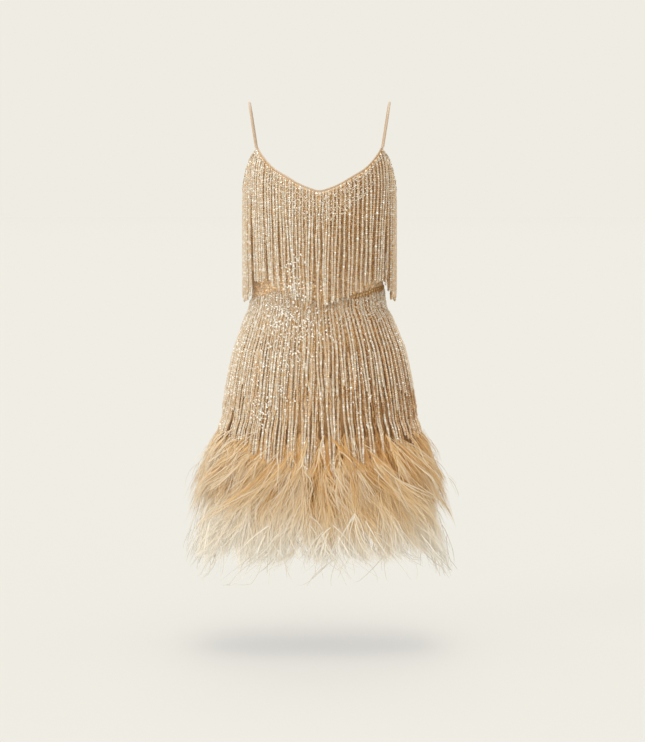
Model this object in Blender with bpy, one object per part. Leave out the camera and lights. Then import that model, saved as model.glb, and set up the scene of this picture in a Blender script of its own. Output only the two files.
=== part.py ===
"""Beaded flapper dress with spaghetti straps and an ostrich-feather hem.

The dress is modelled as it hangs filled out with no wearer: hollow panels of cloth,
curtains of beaded fringe hung from the top edge and from the hips, and two tiers of
feathers. Units are metres, +Z is up and the front faces -Y. The origin is on the
shoulder line, midway between the tops of the two straps.

Run it with: blender --background --python part.py
"""
import math

import bmesh
import bpy
import numpy as np

# Walls and clearances
CLOTH = 0.0012              # stretch base cloth
FRINGE = 0.0026             # depth of one curtain of beaded strands
GAP = 0.0004                # clearance between two sewn pieces
SEAM = 0.0002               # how far front and back each stand off the side seam
FEATHER_ROOT = 0.0026       # depth of the feather tape where it is sewn on

# Cross-sections of the base cloth, outer face, from the shoulder blades to the hem
ROUNDNESS = 2.4             # superellipse power of every section
SECTIONS = (
    # height, half width, front depth, back depth, sideways shift
    (-0.085, 0.1310, 0.082, 0.084, 0.0),
    (-0.125, 0.1395, 0.095, 0.088, 0.0),
    (-0.165, 0.1425, 0.107, 0.090, 0.0),
    (-0.215, 0.1430, 0.113, 0.087, 0.0),
    (-0.240, 0.1400, 0.109, 0.083, 0.0),
    (-0.300, 0.1290, 0.093, 0.073, -0.0025),
    (-0.345, 0.1225, 0.086, 0.070, -0.0035),
    (-0.382, 0.1245, 0.086, 0.075, -0.0030),
    (-0.408, 0.1365, 0.091, 0.084, -0.0015),
    (-0.460, 0.1540, 0.103, 0.103, 0.0),
    (-0.534, 0.1700, 0.115, 0.121, 0.0),
    (-0.607, 0.1810, 0.124, 0.128, 0.0),
    (-0.685, 0.1870, 0.131, 0.134, 0.0),
    (-0.880, 0.1962, 0.1448, 0.1455, 0.0),
)

# Edges, by the angle in degrees from the side seam (0) to the centre line (90)
APEX = 29.0                 # where the straps are sewn on
EDGES = (
    # angle, front top edge, back top edge, front fringe end, back fringe end
    (0.0, -0.165, -0.165, -0.377, -0.377),
    (7.0, -0.150, -0.150, -0.374, -0.376),
    (15.0, -0.125, -0.126, -0.366, -0.370),
    (21.0, -0.104, -0.107, -0.352, -0.356),
    (APEX, -0.090, -0.093, -0.330, -0.332),
    (44.0, -0.111, -0.132, -0.331, -0.346),
    (57.0, -0.130, -0.158, -0.345, -0.371),
    (68.0, -0.143, -0.175, -0.360, -0.388),
    (79.0, -0.158, -0.186, -0.368, -0.398),
    (90.0, -0.170, -0.190, -0.382, -0.402),
)
ANGLES = tuple(row[0] for row in EDGES)

# The waist seam is not quite level: it sits lower on the -X side and dips in front
WAIST = (
    # degrees across from the +X seam, front height, back height
    (0.0, -0.352, -0.352),
    (44.0, -0.356, -0.356),
    (68.0, -0.361, -0.360),
    (90.0, -0.372, -0.364),
    (112.0, -0.362, -0.364),
    (136.0, -0.362, -0.367),
    (180.0, -0.374, -0.374),
)

# Fringe on the hips
HIP_ROWS = (-0.382, -0.408, -0.460, -0.534)
HIP_UPPER_END = -0.558
HIP_LOWER_TOP = -0.463
HIP_LOWER_SIDE_END = -0.620
HIP_LOWER_CENTRE_END = -0.688
HIP_LIFT_START = -0.590     # below this the lower fringe lies over the feathers
HIP_LIFT_SLOPE = 0.16       # how fast the feathers push it out

# Feather tiers
UPPER_TOP = -0.603
UPPER_BOTTOM = -0.790
LOWER_TOP = -0.690
HEM_BOTTOM = -0.880
CLOTH_HEM = -0.770

# Bindings, braid and straps
BINDING_HEIGHT = 0.0050
BINDING_REACH = 0.0009      # how far a binding stands out past the cloth, each side
BRAID_HALF_HEIGHT = 0.0030
BRAID_DEPTH = 0.0018
STRAP_RADIUS = 0.0022
STRAP_TOP_X = 0.131
STRAP_FOOT_X = 0.1180
STRAP_STEPS = 14

FRONT = -1
BACK = 1
SIDE_NAMES = {FRONT: "front", BACK: "back"}


def remove_scene_objects():
    """Empties the file of the objects that it opened with."""
    for existing in list(bpy.data.objects):
        bpy.data.objects.remove(existing, do_unlink=True)


def make_material(name, colour, roughness, metallic):
    """Makes one Principled material for a sub-part."""
    material = bpy.data.materials.new(name)
    material.use_nodes = True
    shader = material.node_tree.nodes["Principled BSDF"]
    shader.inputs["Base Color"].default_value = (*colour, 1.0)
    shader.inputs["Roughness"].default_value = roughness
    shader.inputs["Metallic"].default_value = metallic
    return material


# ---------------------------------------------------------------- sections and edges

def section(height):
    """Half width, front depth, back depth and shift of the cloth at a height."""
    table = np.array(SECTIONS)[::-1]
    return [float(np.interp(height, table[:, 0], table[:, k])) for k in range(1, 5)]


def draped_section(height):
    """The section of a curtain that has hung plumb from the widest place above."""
    above = [section(row[0]) for row in SECTIONS if row[0] > height]
    above.append(section(height))
    width, front, back = (max(values[k] for values in above) for k in range(3))
    return [width, front, back, 0.0]


def place(shape, side, angle, height, offset):
    """A point round a section, moved out by an offset. Angles run from the +X seam."""
    width, front, back, shift = shape
    depth = front if side == FRONT else back
    power = 2.0 / ROUNDNESS
    across = math.cos(math.radians(angle))
    out = max(math.sin(math.radians(angle)), 0.0)
    x = (width + offset) * math.copysign(abs(across) ** power, across) + shift
    y = side * ((depth + offset) * out ** power + SEAM)
    return (x, y, height)


def from_centre(angle):
    """Folds an angle across the garment to one between a seam and the centre line."""
    return angle if angle <= 90.0 else 180.0 - angle


def edge_height(side, angle, column):
    """Reads a column of the edge table at an angle across the front or the back."""
    table = np.array(EDGES)
    return float(np.interp(from_centre(angle), table[:, 0], table[:, column]))


def top_edge(side, angle):
    """Height of the cloth's top edge."""
    return edge_height(side, angle, 1 if side == FRONT else 2)


def fringe_end(side, angle):
    """Height where the bodice fringe ends."""
    return edge_height(side, angle, 3 if side == FRONT else 4)


def waist_seam(side, angle):
    """Height of the waist seam."""
    table = np.array(WAIST)
    return float(np.interp(angle, table[:, 0], table[:, 1 if side == FRONT else 2]))


def hip_fringe_end(angle):
    """Height where the lower hip fringe ends: longest at the centre."""
    middle = math.sin(math.radians(angle)) ** 3
    return HIP_LOWER_SIDE_END + (HIP_LOWER_CENTRE_END - HIP_LOWER_SIDE_END) * middle


def hip_lift(height):
    """Offset of the lower hip fringe's inner face: it rides up over the feathers."""
    return GAP + max(0.0, HIP_LIFT_START - height) * HIP_LIFT_SLOPE + (
        FEATHER_ROOT if height < HIP_LIFT_START else 0.0)


# ---------------------------------------------------------------- solids

def half_columns():
    """Column angles across a whole front or back, from the +X seam to the -X seam."""
    return list(ANGLES) + [180.0 - angle for angle in reversed(ANGLES[:-1])]


def yoke_columns():
    """Column angles between the two strap feet."""
    clear = math.degrees(GAP / 2 / SECTIONS[0][1])
    inner = [angle for angle in half_columns() if APEX < angle < 180.0 - APEX]
    return [APEX + clear] + inner + [180.0 - APEX - clear]


def side_columns(sign):
    """Columns round one armhole: front strap foot, side seam, back strap foot."""
    clear = math.degrees(GAP / 2 / SECTIONS[0][1])
    quarter = [angle for angle in ANGLES if angle < APEX] + [APEX - clear]
    if sign < 0:
        quarter = [180.0 - angle for angle in quarter]
    return [(FRONT, angle) for angle in reversed(quarter)] + [
        (BACK, angle) for angle in quarter[1:]]


def make_object(name, vertices, faces, material):
    """Makes a mesh object from points and triangles, with its faces turned out."""
    mesh = bpy.data.meshes.new(name)
    mesh.from_pydata(vertices, [], faces)
    shell = bmesh.new()
    shell.from_mesh(mesh)
    bmesh.ops.recalc_face_normals(shell, faces=shell.faces)
    shell.to_mesh(mesh)
    shell.free()
    mesh.materials.append(material)
    made = bpy.data.objects.new(name, mesh)
    bpy.context.scene.collection.objects.link(made)
    return made


def make_wall(name, outer, inner, turned, material):
    """Makes a closed wall between two grids of points, columns first.

    turned says, for each pair of columns, that they run the other way round the garment.
    Its squares are then cut on the other diagonal, so that walls on each other match.
    """
    columns = len(outer)
    rows = len(outer[0])
    vertices = [point for grid in (outer, inner) for column in grid for point in column]

    def index(layer, column, row):
        return (layer * columns + column) * rows + row

    def quad(a, b, c, d, other=False):
        return [(a, b, d), (b, c, d)] if other else [(a, b, c), (a, c, d)]

    faces = []
    for layer in (0, 1):
        for i in range(columns - 1):
            for j in range(rows - 1):
                faces += quad(index(layer, i, j), index(layer, i + 1, j),
                              index(layer, i + 1, j + 1), index(layer, i, j + 1),
                              turned[i])
    for row in (0, rows - 1):
        for i in range(columns - 1):
            faces += quad(index(0, i, row), index(0, i + 1, row),
                          index(1, i + 1, row), index(1, i, row))
    for column in (0, columns - 1):
        for j in range(rows - 1):
            faces += quad(index(0, column, j), index(0, column, j + 1),
                          index(1, column, j + 1), index(1, column, j))
    return make_object(name, vertices, faces, material)


def make_shell(name, columns, heights, inner, outer, material, shape=section):
    """Makes a wall round the garment.

    columns holds (side, angle) pairs; heights(side, angle) gives a column's rows from
    the top; inner and outer give the offsets of the two faces for (row, height).
    """
    grids = []
    for offset in (outer, inner):
        grid = []
        for side, angle in columns:
            rows = heights(side, angle)
            grid.append([place(shape(z), side, angle, z, offset(j, z))
                         for j, z in enumerate(rows)])
        grids.append(grid)
    turned = [after[1] < before[1] for before, after in zip(columns, columns[1:])]
    return make_wall(name, grids[0], grids[1], turned, material)


# ---------------------------------------------------------------- base cloth

def make_bodice(side, material):
    """The close-fitting front or back of the bodice, from the top edge to the waist."""
    def heights(side, angle):
        top = top_edge(side, angle)
        chest = -0.240
        steps = [top + (chest - top) * share for share in (0.0, 1 / 3, 2 / 3)]
        return steps + [chest, -0.300, -0.345, waist_seam(side, angle) + GAP / 2]

    return make_shell(f"bodice_{SIDE_NAMES[side]}", [(side, a) for a in half_columns()],
                      heights, lambda j, z: -CLOTH, lambda j, z: 0.0, material)


def make_skirt(side, material):
    """The skirt panel from the waist seam to the hem under the feathers."""
    def heights(side, angle):
        return [waist_seam(side, angle) - GAP / 2, *HIP_ROWS, -0.607, -0.685, CLOTH_HEM]

    return make_shell(f"skirt_{SIDE_NAMES[side]}", [(side, a) for a in half_columns()],
                      heights, lambda j, z: -CLOTH, lambda j, z: 0.0, material)


# ---------------------------------------------------------------- bindings and straps

def make_binding(name, columns, material):
    """A bound edge that sits on the top edge of the cloth."""
    def heights(side, angle):
        top = top_edge(side, angle)
        return [top + GAP + BINDING_HEIGHT, top + GAP]

    return make_shell(name, columns, heights, lambda j, z: -CLOTH - BINDING_REACH,
                      lambda j, z: BINDING_REACH, material)


def make_braid(side, material):
    """The looped braid that covers the waist seam."""
    def heights(side, angle):
        seam = waist_seam(side, angle)
        return [seam + BRAID_HALF_HEIGHT, seam, seam - BRAID_HALF_HEIGHT]

    return make_shell(f"waist_braid_{SIDE_NAMES[side]}",
                      [(side, a) for a in half_columns()], heights,
                      lambda j, z: GAP, lambda j, z: GAP + BRAID_DEPTH, material)


def strap_foot(side):
    """Middle of the top of the binding at a strap foot."""
    height = top_edge(side, APEX)
    _, y, _ = place(section(height), side, APEX, height, -CLOTH / 2)
    return y, height + GAP + BINDING_HEIGHT + GAP


def make_strap(name, sign, material):
    """A rolled spaghetti strap that arches over the shoulder from foot to foot."""
    points = []
    for step in range(STRAP_STEPS + 1):
        turn = math.pi * step / STRAP_STEPS
        side = FRONT if step <= STRAP_STEPS / 2 else BACK
        foot_y, foot_z = strap_foot(side)
        rise = math.sin(turn) ** 0.8
        z = foot_z * (1.0 - rise) - STRAP_RADIUS * rise
        x = STRAP_FOOT_X + (STRAP_TOP_X - STRAP_FOOT_X) * rise
        points.append((sign * x, foot_y * abs(math.cos(turn)), z))
    curve = bpy.data.curves.new(name, "CURVE")
    curve.dimensions = "3D"
    curve.bevel_depth = STRAP_RADIUS
    curve.bevel_resolution = 2
    curve.use_fill_caps = True
    spline = curve.splines.new("POLY")
    spline.points.add(len(points) - 1)
    for point, where in zip(spline.points, points):
        point.co = (*where, 1.0)
    curve.materials.append(material)
    made = bpy.data.objects.new(name, curve)
    bpy.context.scene.collection.objects.link(made)
    return made


# ---------------------------------------------------------------- beaded fringe

def make_bodice_fringe(name, columns, material):
    """A curtain of beaded strands hung from the top edge, plumb below the bust."""
    def heights(side, angle):
        top = top_edge(side, angle) - 0.0015
        chest = -0.240
        steps = [top + (chest - top) * share for share in (0.0, 1 / 3, 2 / 3)]
        return steps + [chest, fringe_end(side, angle)]

    def inner(j, z):
        return GAP if j == 0 else 0.0016

    return make_shell(name, columns, heights, inner,
                      lambda j, z: inner(j, z) + FRINGE, material, draped_section)


def make_upper_hip_fringe(side, material):
    """The curtain sewn into the waist seam, which passes over the lower one."""
    def heights(side, angle):
        top = waist_seam(side, angle) - BRAID_HALF_HEIGHT - GAP
        return [top, *HIP_ROWS, HIP_UPPER_END]

    def inner(j, z):
        return GAP if z > HIP_LOWER_TOP + 0.02 else 2 * GAP + FRINGE

    return make_shell(f"skirt_fringe_upper_{SIDE_NAMES[side]}",
                      [(side, a) for a in half_columns()], heights, inner,
                      lambda j, z: inner(j, z) + FRINGE, material)


def make_lower_hip_fringe(side, material):
    """The curtain sewn on at the hip, whose ends lie over the feathers."""
    def heights(side, angle):
        return [HIP_LOWER_TOP, -0.534, HIP_LIFT_START + 0.002, -0.598,
                hip_fringe_end(angle)]

    return make_shell(f"skirt_fringe_lower_{SIDE_NAMES[side]}",
                      [(side, a) for a in half_columns()], heights,
                      lambda j, z: hip_lift(z),
                      lambda j, z: hip_lift(z) + FRINGE, material)


# ---------------------------------------------------------------- feathers

def make_upper_feathers(side, material):
    """The upper tier: sewn on under the beads, springing out below their ends."""
    outer_reach = (FEATHER_ROOT, None, 0.027, 0.033, 0.034)

    def heights(side, angle):
        end = hip_fringe_end(angle)
        return [UPPER_TOP, end - 0.003, end - 0.028, -0.737, UPPER_BOTTOM]

    def outer(j, z):
        if outer_reach[j] is None:
            return hip_lift(z) - 2 * GAP
        return outer_reach[j]

    def inner(j, z):
        return GAP if z > LOWER_TOP - 0.031 else lower_reach(z) + GAP

    return make_shell(f"feathers_upper_{SIDE_NAMES[side]}",
                      [(side, a) for a in half_columns()], heights, inner, outer,
                      material)


def lower_reach(height):
    """How far the lower tier's outer face stands off the cloth."""
    stations = (HEM_BOTTOM, -0.836, UPPER_BOTTOM - 0.004, UPPER_BOTTOM, -0.737,
                LOWER_TOP - 0.030, LOWER_TOP)
    reach = (0.054, 0.044, 0.030, 0.022, 0.012, FEATHER_ROOT, FEATHER_ROOT)
    return float(np.interp(height, stations, reach))


def make_lower_feathers(side, material):
    """The lower tier, which makes the hem."""
    def heights(side, angle):
        return [LOWER_TOP - 0.032, -0.737, UPPER_BOTTOM, UPPER_BOTTOM - 0.004, -0.836,
                HEM_BOTTOM]

    return make_shell(f"feathers_lower_{SIDE_NAMES[side]}",
                      [(side, a) for a in half_columns()], heights,
                      lambda j, z: GAP, lambda j, z: lower_reach(z), material)


def main():
    """Builds every piece of the dress."""
    remove_scene_objects()
    cloth = make_material("sequin_cloth", (0.58, 0.38, 0.20), 0.45, 0.2)
    binding = make_material("satin_binding", (0.62, 0.42, 0.25), 0.5, 0.0)
    braid = make_material("gold_braid", (0.42, 0.24, 0.09), 0.4, 0.4)
    beads = make_material("bead_fringe", (0.66, 0.52, 0.36), 0.3, 0.3)
    plume = make_material("ostrich_plume", (0.74, 0.52, 0.31), 0.8, 0.0)
    down = make_material("ostrich_down", (0.80, 0.68, 0.52), 0.85, 0.0)

    for side in (FRONT, BACK):
        name = SIDE_NAMES[side]
        yoke = [(side, angle) for angle in yoke_columns()]
        make_bodice(side, cloth)
        make_skirt(side, cloth)
        make_binding(f"neck_binding_{name}", yoke, binding)
        make_braid(side, braid)
        make_bodice_fringe(f"bodice_fringe_{name}", yoke, beads)
        make_upper_hip_fringe(side, beads)
        make_lower_hip_fringe(side, beads)
        make_upper_feathers(side, plume)
        make_lower_feathers(side, down)

    for name, sign in (("left", 1), ("right", -1)):
        make_binding(f"armhole_binding_{name}", side_columns(sign), binding)
        make_bodice_fringe(f"bodice_fringe_{name}", side_columns(sign), beads)
        make_strap(f"strap_{name}", sign, binding)


main()
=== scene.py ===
"""Looks of the beaded flapper dress: sequinned cloth, bead fringe, braid and feathers.

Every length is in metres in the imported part's frame: +Z up, the front facing -Y, the
origin on the shoulder line. Angles round the dress start at the +X side seam, pass the
centre front at 90 degrees, the -X seam at 180 and the centre back at 270.
"""
import logging
import math
from dataclasses import dataclass, field, replace
from enum import Enum
from typing import Callable, Optional, Sequence, Union

import bpy
import numpy as np
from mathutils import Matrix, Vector


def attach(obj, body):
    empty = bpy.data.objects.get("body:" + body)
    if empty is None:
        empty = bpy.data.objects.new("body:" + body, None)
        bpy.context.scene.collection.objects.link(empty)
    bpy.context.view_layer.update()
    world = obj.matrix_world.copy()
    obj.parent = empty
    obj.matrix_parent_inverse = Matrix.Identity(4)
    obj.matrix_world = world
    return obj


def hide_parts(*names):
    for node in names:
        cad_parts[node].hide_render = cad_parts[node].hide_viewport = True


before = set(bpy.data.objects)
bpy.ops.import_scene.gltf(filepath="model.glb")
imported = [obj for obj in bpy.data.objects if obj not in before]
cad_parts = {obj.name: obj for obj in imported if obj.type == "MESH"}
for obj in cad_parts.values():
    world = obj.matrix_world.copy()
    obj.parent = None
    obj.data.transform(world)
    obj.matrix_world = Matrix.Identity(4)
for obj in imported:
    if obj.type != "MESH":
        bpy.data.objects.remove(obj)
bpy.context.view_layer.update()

LOG = logging.getLogger("dress")
UP = np.array([0.0, 0.0, 1.0])
MEAN_RADIUS = 0.13      # of the dress, to turn lengths into angles
FINE_STEPS = 721        # points that measure half of a section's outline


# ---- small geometry tools

def smooth_curve(at: np.ndarray, knots: Sequence[float],
                 values: Sequence[float]) -> np.ndarray:
    """Reads a smooth curve that passes its knots without overshooting.

    Args:
        at: Places to read.
        knots: Increasing places of the known values.
        values: The known values.

    Returns:
        The curve's value at each place, held level past the ends.
    """
    x, y = np.asarray(knots, float), np.asarray(values, float)
    step = np.diff(x)
    slope = np.diff(y) / step
    bend = np.zeros_like(y)
    same = slope[:-1] * slope[1:] > 0
    heavy, light = 2 * step[1:] + step[:-1], step[1:] + 2 * step[:-1]
    safe_a = np.where(same, slope[:-1], 1.0)
    safe_b = np.where(same, slope[1:], 1.0)
    bend[1:-1] = np.where(same, (heavy + light) / (heavy / safe_a + light / safe_b), 0.0)
    bend[0], bend[-1] = slope[0], slope[-1]
    place = np.clip(np.asarray(at, float), x[0], x[-1])
    i = np.clip(np.searchsorted(x, place) - 1, 0, len(x) - 2)
    t = (place - x[i]) / step[i]
    return ((2 * t**3 - 3 * t**2 + 1) * y[i] + (t**3 - 2 * t**2 + t) * step[i] * bend[i]
            + (3 * t**2 - 2 * t**3) * y[i + 1] + (t**3 - t**2) * step[i] * bend[i + 1])


def unit(vectors: np.ndarray) -> np.ndarray:
    """Scales vectors to length 1."""
    return vectors / np.maximum(np.linalg.norm(vectors, axis=-1, keepdims=True), 1e-12)


def signed_power(x: np.ndarray, power: float) -> np.ndarray:
    """Raises sizes to a power and keeps their signs."""
    return np.sign(x) * np.abs(x) ** power


def run_along(path: np.ndarray) -> np.ndarray:
    """Distance travelled at each point of a path."""
    stride = np.linalg.norm(np.diff(path, axis=0), axis=1)
    return np.concatenate([[0.0], np.cumsum(stride)])


def ease(x: Union[float, np.ndarray], low: float, high: float) -> np.ndarray:
    """Rises smoothly from 0 at low to 1 at high."""
    t = np.clip((np.asarray(x, float) - low) / (high - low), 0.0, 1.0)
    return t * t * (3.0 - 2.0 * t)


def make_mesh(name: str, points: np.ndarray, triangles: np.ndarray,
              tone: Optional[np.ndarray] = None, smooth: bool = False) -> bpy.types.Object:
    """Makes a mesh object from arrays.

    Args:
        name: The piece's name.
        points: One row for each point.
        triangles: One row of three point numbers for each face.
        tone: A number from 0 to 1 for each point, kept as the attribute "tone".
        smooth: Shades the faces smooth.

    Returns:
        The new object, linked to the scene.
    """
    mesh = bpy.data.meshes.new(name)
    mesh.vertices.add(len(points))
    mesh.vertices.foreach_set("co", np.asarray(points, np.float32).ravel())
    mesh.loops.add(3 * len(triangles))
    mesh.loops.foreach_set("vertex_index", np.asarray(triangles, np.int32).ravel())
    mesh.polygons.add(len(triangles))
    mesh.polygons.foreach_set("loop_start", np.arange(0, 3 * len(triangles), 3, np.int32))
    mesh.polygons.foreach_set("use_smooth", np.full(len(triangles), smooth, bool))
    if tone is not None:
        layer = mesh.attributes.new("tone", "FLOAT", "POINT")
        layer.data.foreach_set("value", np.asarray(tone, np.float32))
    mesh.update(calc_edges=True)
    made = bpy.data.objects.new(f"{name}_made", mesh)
    bpy.context.scene.collection.objects.link(made)
    return made


@dataclass
class MeshPile:
    """Collects many small shapes that become one joined mesh."""

    points: list[np.ndarray] = field(default_factory=list)
    triangles: list[np.ndarray] = field(default_factory=list)
    tones: list[np.ndarray] = field(default_factory=list)
    count: int = 0

    def add(self, points: np.ndarray, triangles: np.ndarray,
            tones: Union[float, np.ndarray]) -> None:
        """Adds one shape.

        Args:
            points: The shape's points.
            triangles: Its faces, counted from its own first point.
            tones: One tone for the shape or one for each point.
        """
        self.points.append(points)
        self.triangles.append(triangles + self.count)
        self.tones.append(np.broadcast_to(np.asarray(tones, float), (len(points),)))
        self.count += len(points)

    def build(self, name: str, smooth: bool = False) -> bpy.types.Object:
        """Joins everything into one object."""
        arrays = [np.concatenate(part) for part in (self.points, self.triangles, self.tones)]
        return make_mesh(name, *arrays, smooth)


def grid_triangles(columns: int, rows: int, closed: bool = False) -> np.ndarray:
    """Triangles of a grid of points stored column by column.

    Args:
        columns: Number of columns.
        rows: Points in each column.
        closed: Joins the last column to the first.

    Returns:
        The faces as rows of point numbers.
    """
    last = columns if closed else columns - 1
    i, j = np.meshgrid(np.arange(last), np.arange(rows - 1), indexing="ij")
    a = i * rows + j
    b = ((i + 1) % columns) * rows + j
    return np.concatenate([np.stack([a, b, b + 1], -1).reshape(-1, 3),
                           np.stack([a, b + 1, a + 1], -1).reshape(-1, 3)])


def sweep(path: np.ndarray, side: np.ndarray, half_width: float, half_height: float,
          corners: int, flat: float = 2.0) -> tuple[np.ndarray, np.ndarray]:
    """Sweeps a rounded section along a path, with closed ends.

    Args:
        path: Points of the middle line.
        side: For each point, the direction in which half_width is measured.
        half_width: Half the section's size along side.
        half_height: Half its size across side.
        corners: Points round the section.
        flat: Power of the section: 2 is an ellipse, more is squarer.

    Returns:
        The points and triangles.
    """
    along = unit(np.gradient(path, axis=0))
    side = unit(side - along * np.sum(side * along, -1, keepdims=True))
    over = np.cross(along, side)
    turn = np.linspace(0.0, 2 * np.pi, corners, endpoint=False)
    power = 2.0 / flat
    u = signed_power(np.cos(turn), power) * half_width
    v = signed_power(np.sin(turn), power) * half_height
    rings = path[None] + u[:, None, None] * side[None] + v[:, None, None] * over[None]
    points = rings.reshape(-1, 3)
    rows = len(path)
    faces = [grid_triangles(corners, rows, closed=True)]
    for end in (0, rows - 1):
        rim = np.arange(corners) * rows + end
        fan = np.stack([np.full(corners - 2, rim[0]), rim[1:-1], rim[2:]], -1)
        faces.append(fan if end == 0 else fan[:, ::-1])
    return points, np.concatenate(faces)


# ---- the dress's form

class Half(Enum):
    """The front or the back of the dress."""

    FRONT = "front"
    BACK = "back"

    @property
    def start(self) -> float:
        """Angle in degrees where this half starts."""
        return 0.0 if self is Half.FRONT else 180.0


SECTIONS = np.array([
    # height, half width, front depth, back depth, sideways shift
    (-0.085, 0.1282, 0.082, 0.084, 0.0),
    (-0.125, 0.1365, 0.095, 0.088, 0.0),
    (-0.165, 0.1396, 0.107, 0.090, 0.0),
    (-0.215, 0.1400, 0.113, 0.087, 0.0),
    (-0.240, 0.1370, 0.109, 0.083, -0.0005),
    (-0.300, 0.1255, 0.093, 0.073, -0.0030),
    (-0.345, 0.1215, 0.086, 0.070, -0.0035),
    (-0.382, 0.1245, 0.086, 0.075, -0.0030),
    (-0.408, 0.1365, 0.091, 0.084, -0.0015),
    (-0.460, 0.1540, 0.103, 0.103, 0.0),
    (-0.534, 0.1700, 0.115, 0.121, 0.0),
    (-0.607, 0.1810, 0.124, 0.128, 0.0),
    (-0.685, 0.1870, 0.131, 0.134, 0.0),
    (-0.880, 0.1962, 0.1448, 0.1455, 0.0),
])[::-1]
APEX = 29.0
EDGES = np.array([
    # angle from the seam, front top edge, back top edge, front and back fringe ends
    (0.0, -0.165, -0.165, -0.364, -0.364),
    (7.0, -0.150, -0.150, -0.367, -0.367),
    (15.0, -0.125, -0.126, -0.368, -0.368),
    (21.0, -0.104, -0.107, -0.362, -0.362),
    (APEX, -0.090, -0.093, -0.340, -0.340),
    (44.0, -0.111, -0.132, -0.331, -0.346),
    (57.0, -0.130, -0.158, -0.345, -0.371),
    (68.0, -0.143, -0.175, -0.360, -0.388),
    (79.0, -0.158, -0.186, -0.368, -0.398),
    (90.0, -0.170, -0.190, -0.382, -0.402),
])
WAIST = np.array([
    # degrees across from the +X seam, front height, back height
    (0.0, -0.348, -0.348),
    (30.0, -0.351, -0.353),
    (48.0, -0.358, -0.356),
    (68.0, -0.365, -0.360),
    (90.0, -0.369, -0.364),
    (108.0, -0.356, -0.364),
    (122.0, -0.354, -0.366),
    (145.0, -0.363, -0.368),
    (180.0, -0.374, -0.374),
])


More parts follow.
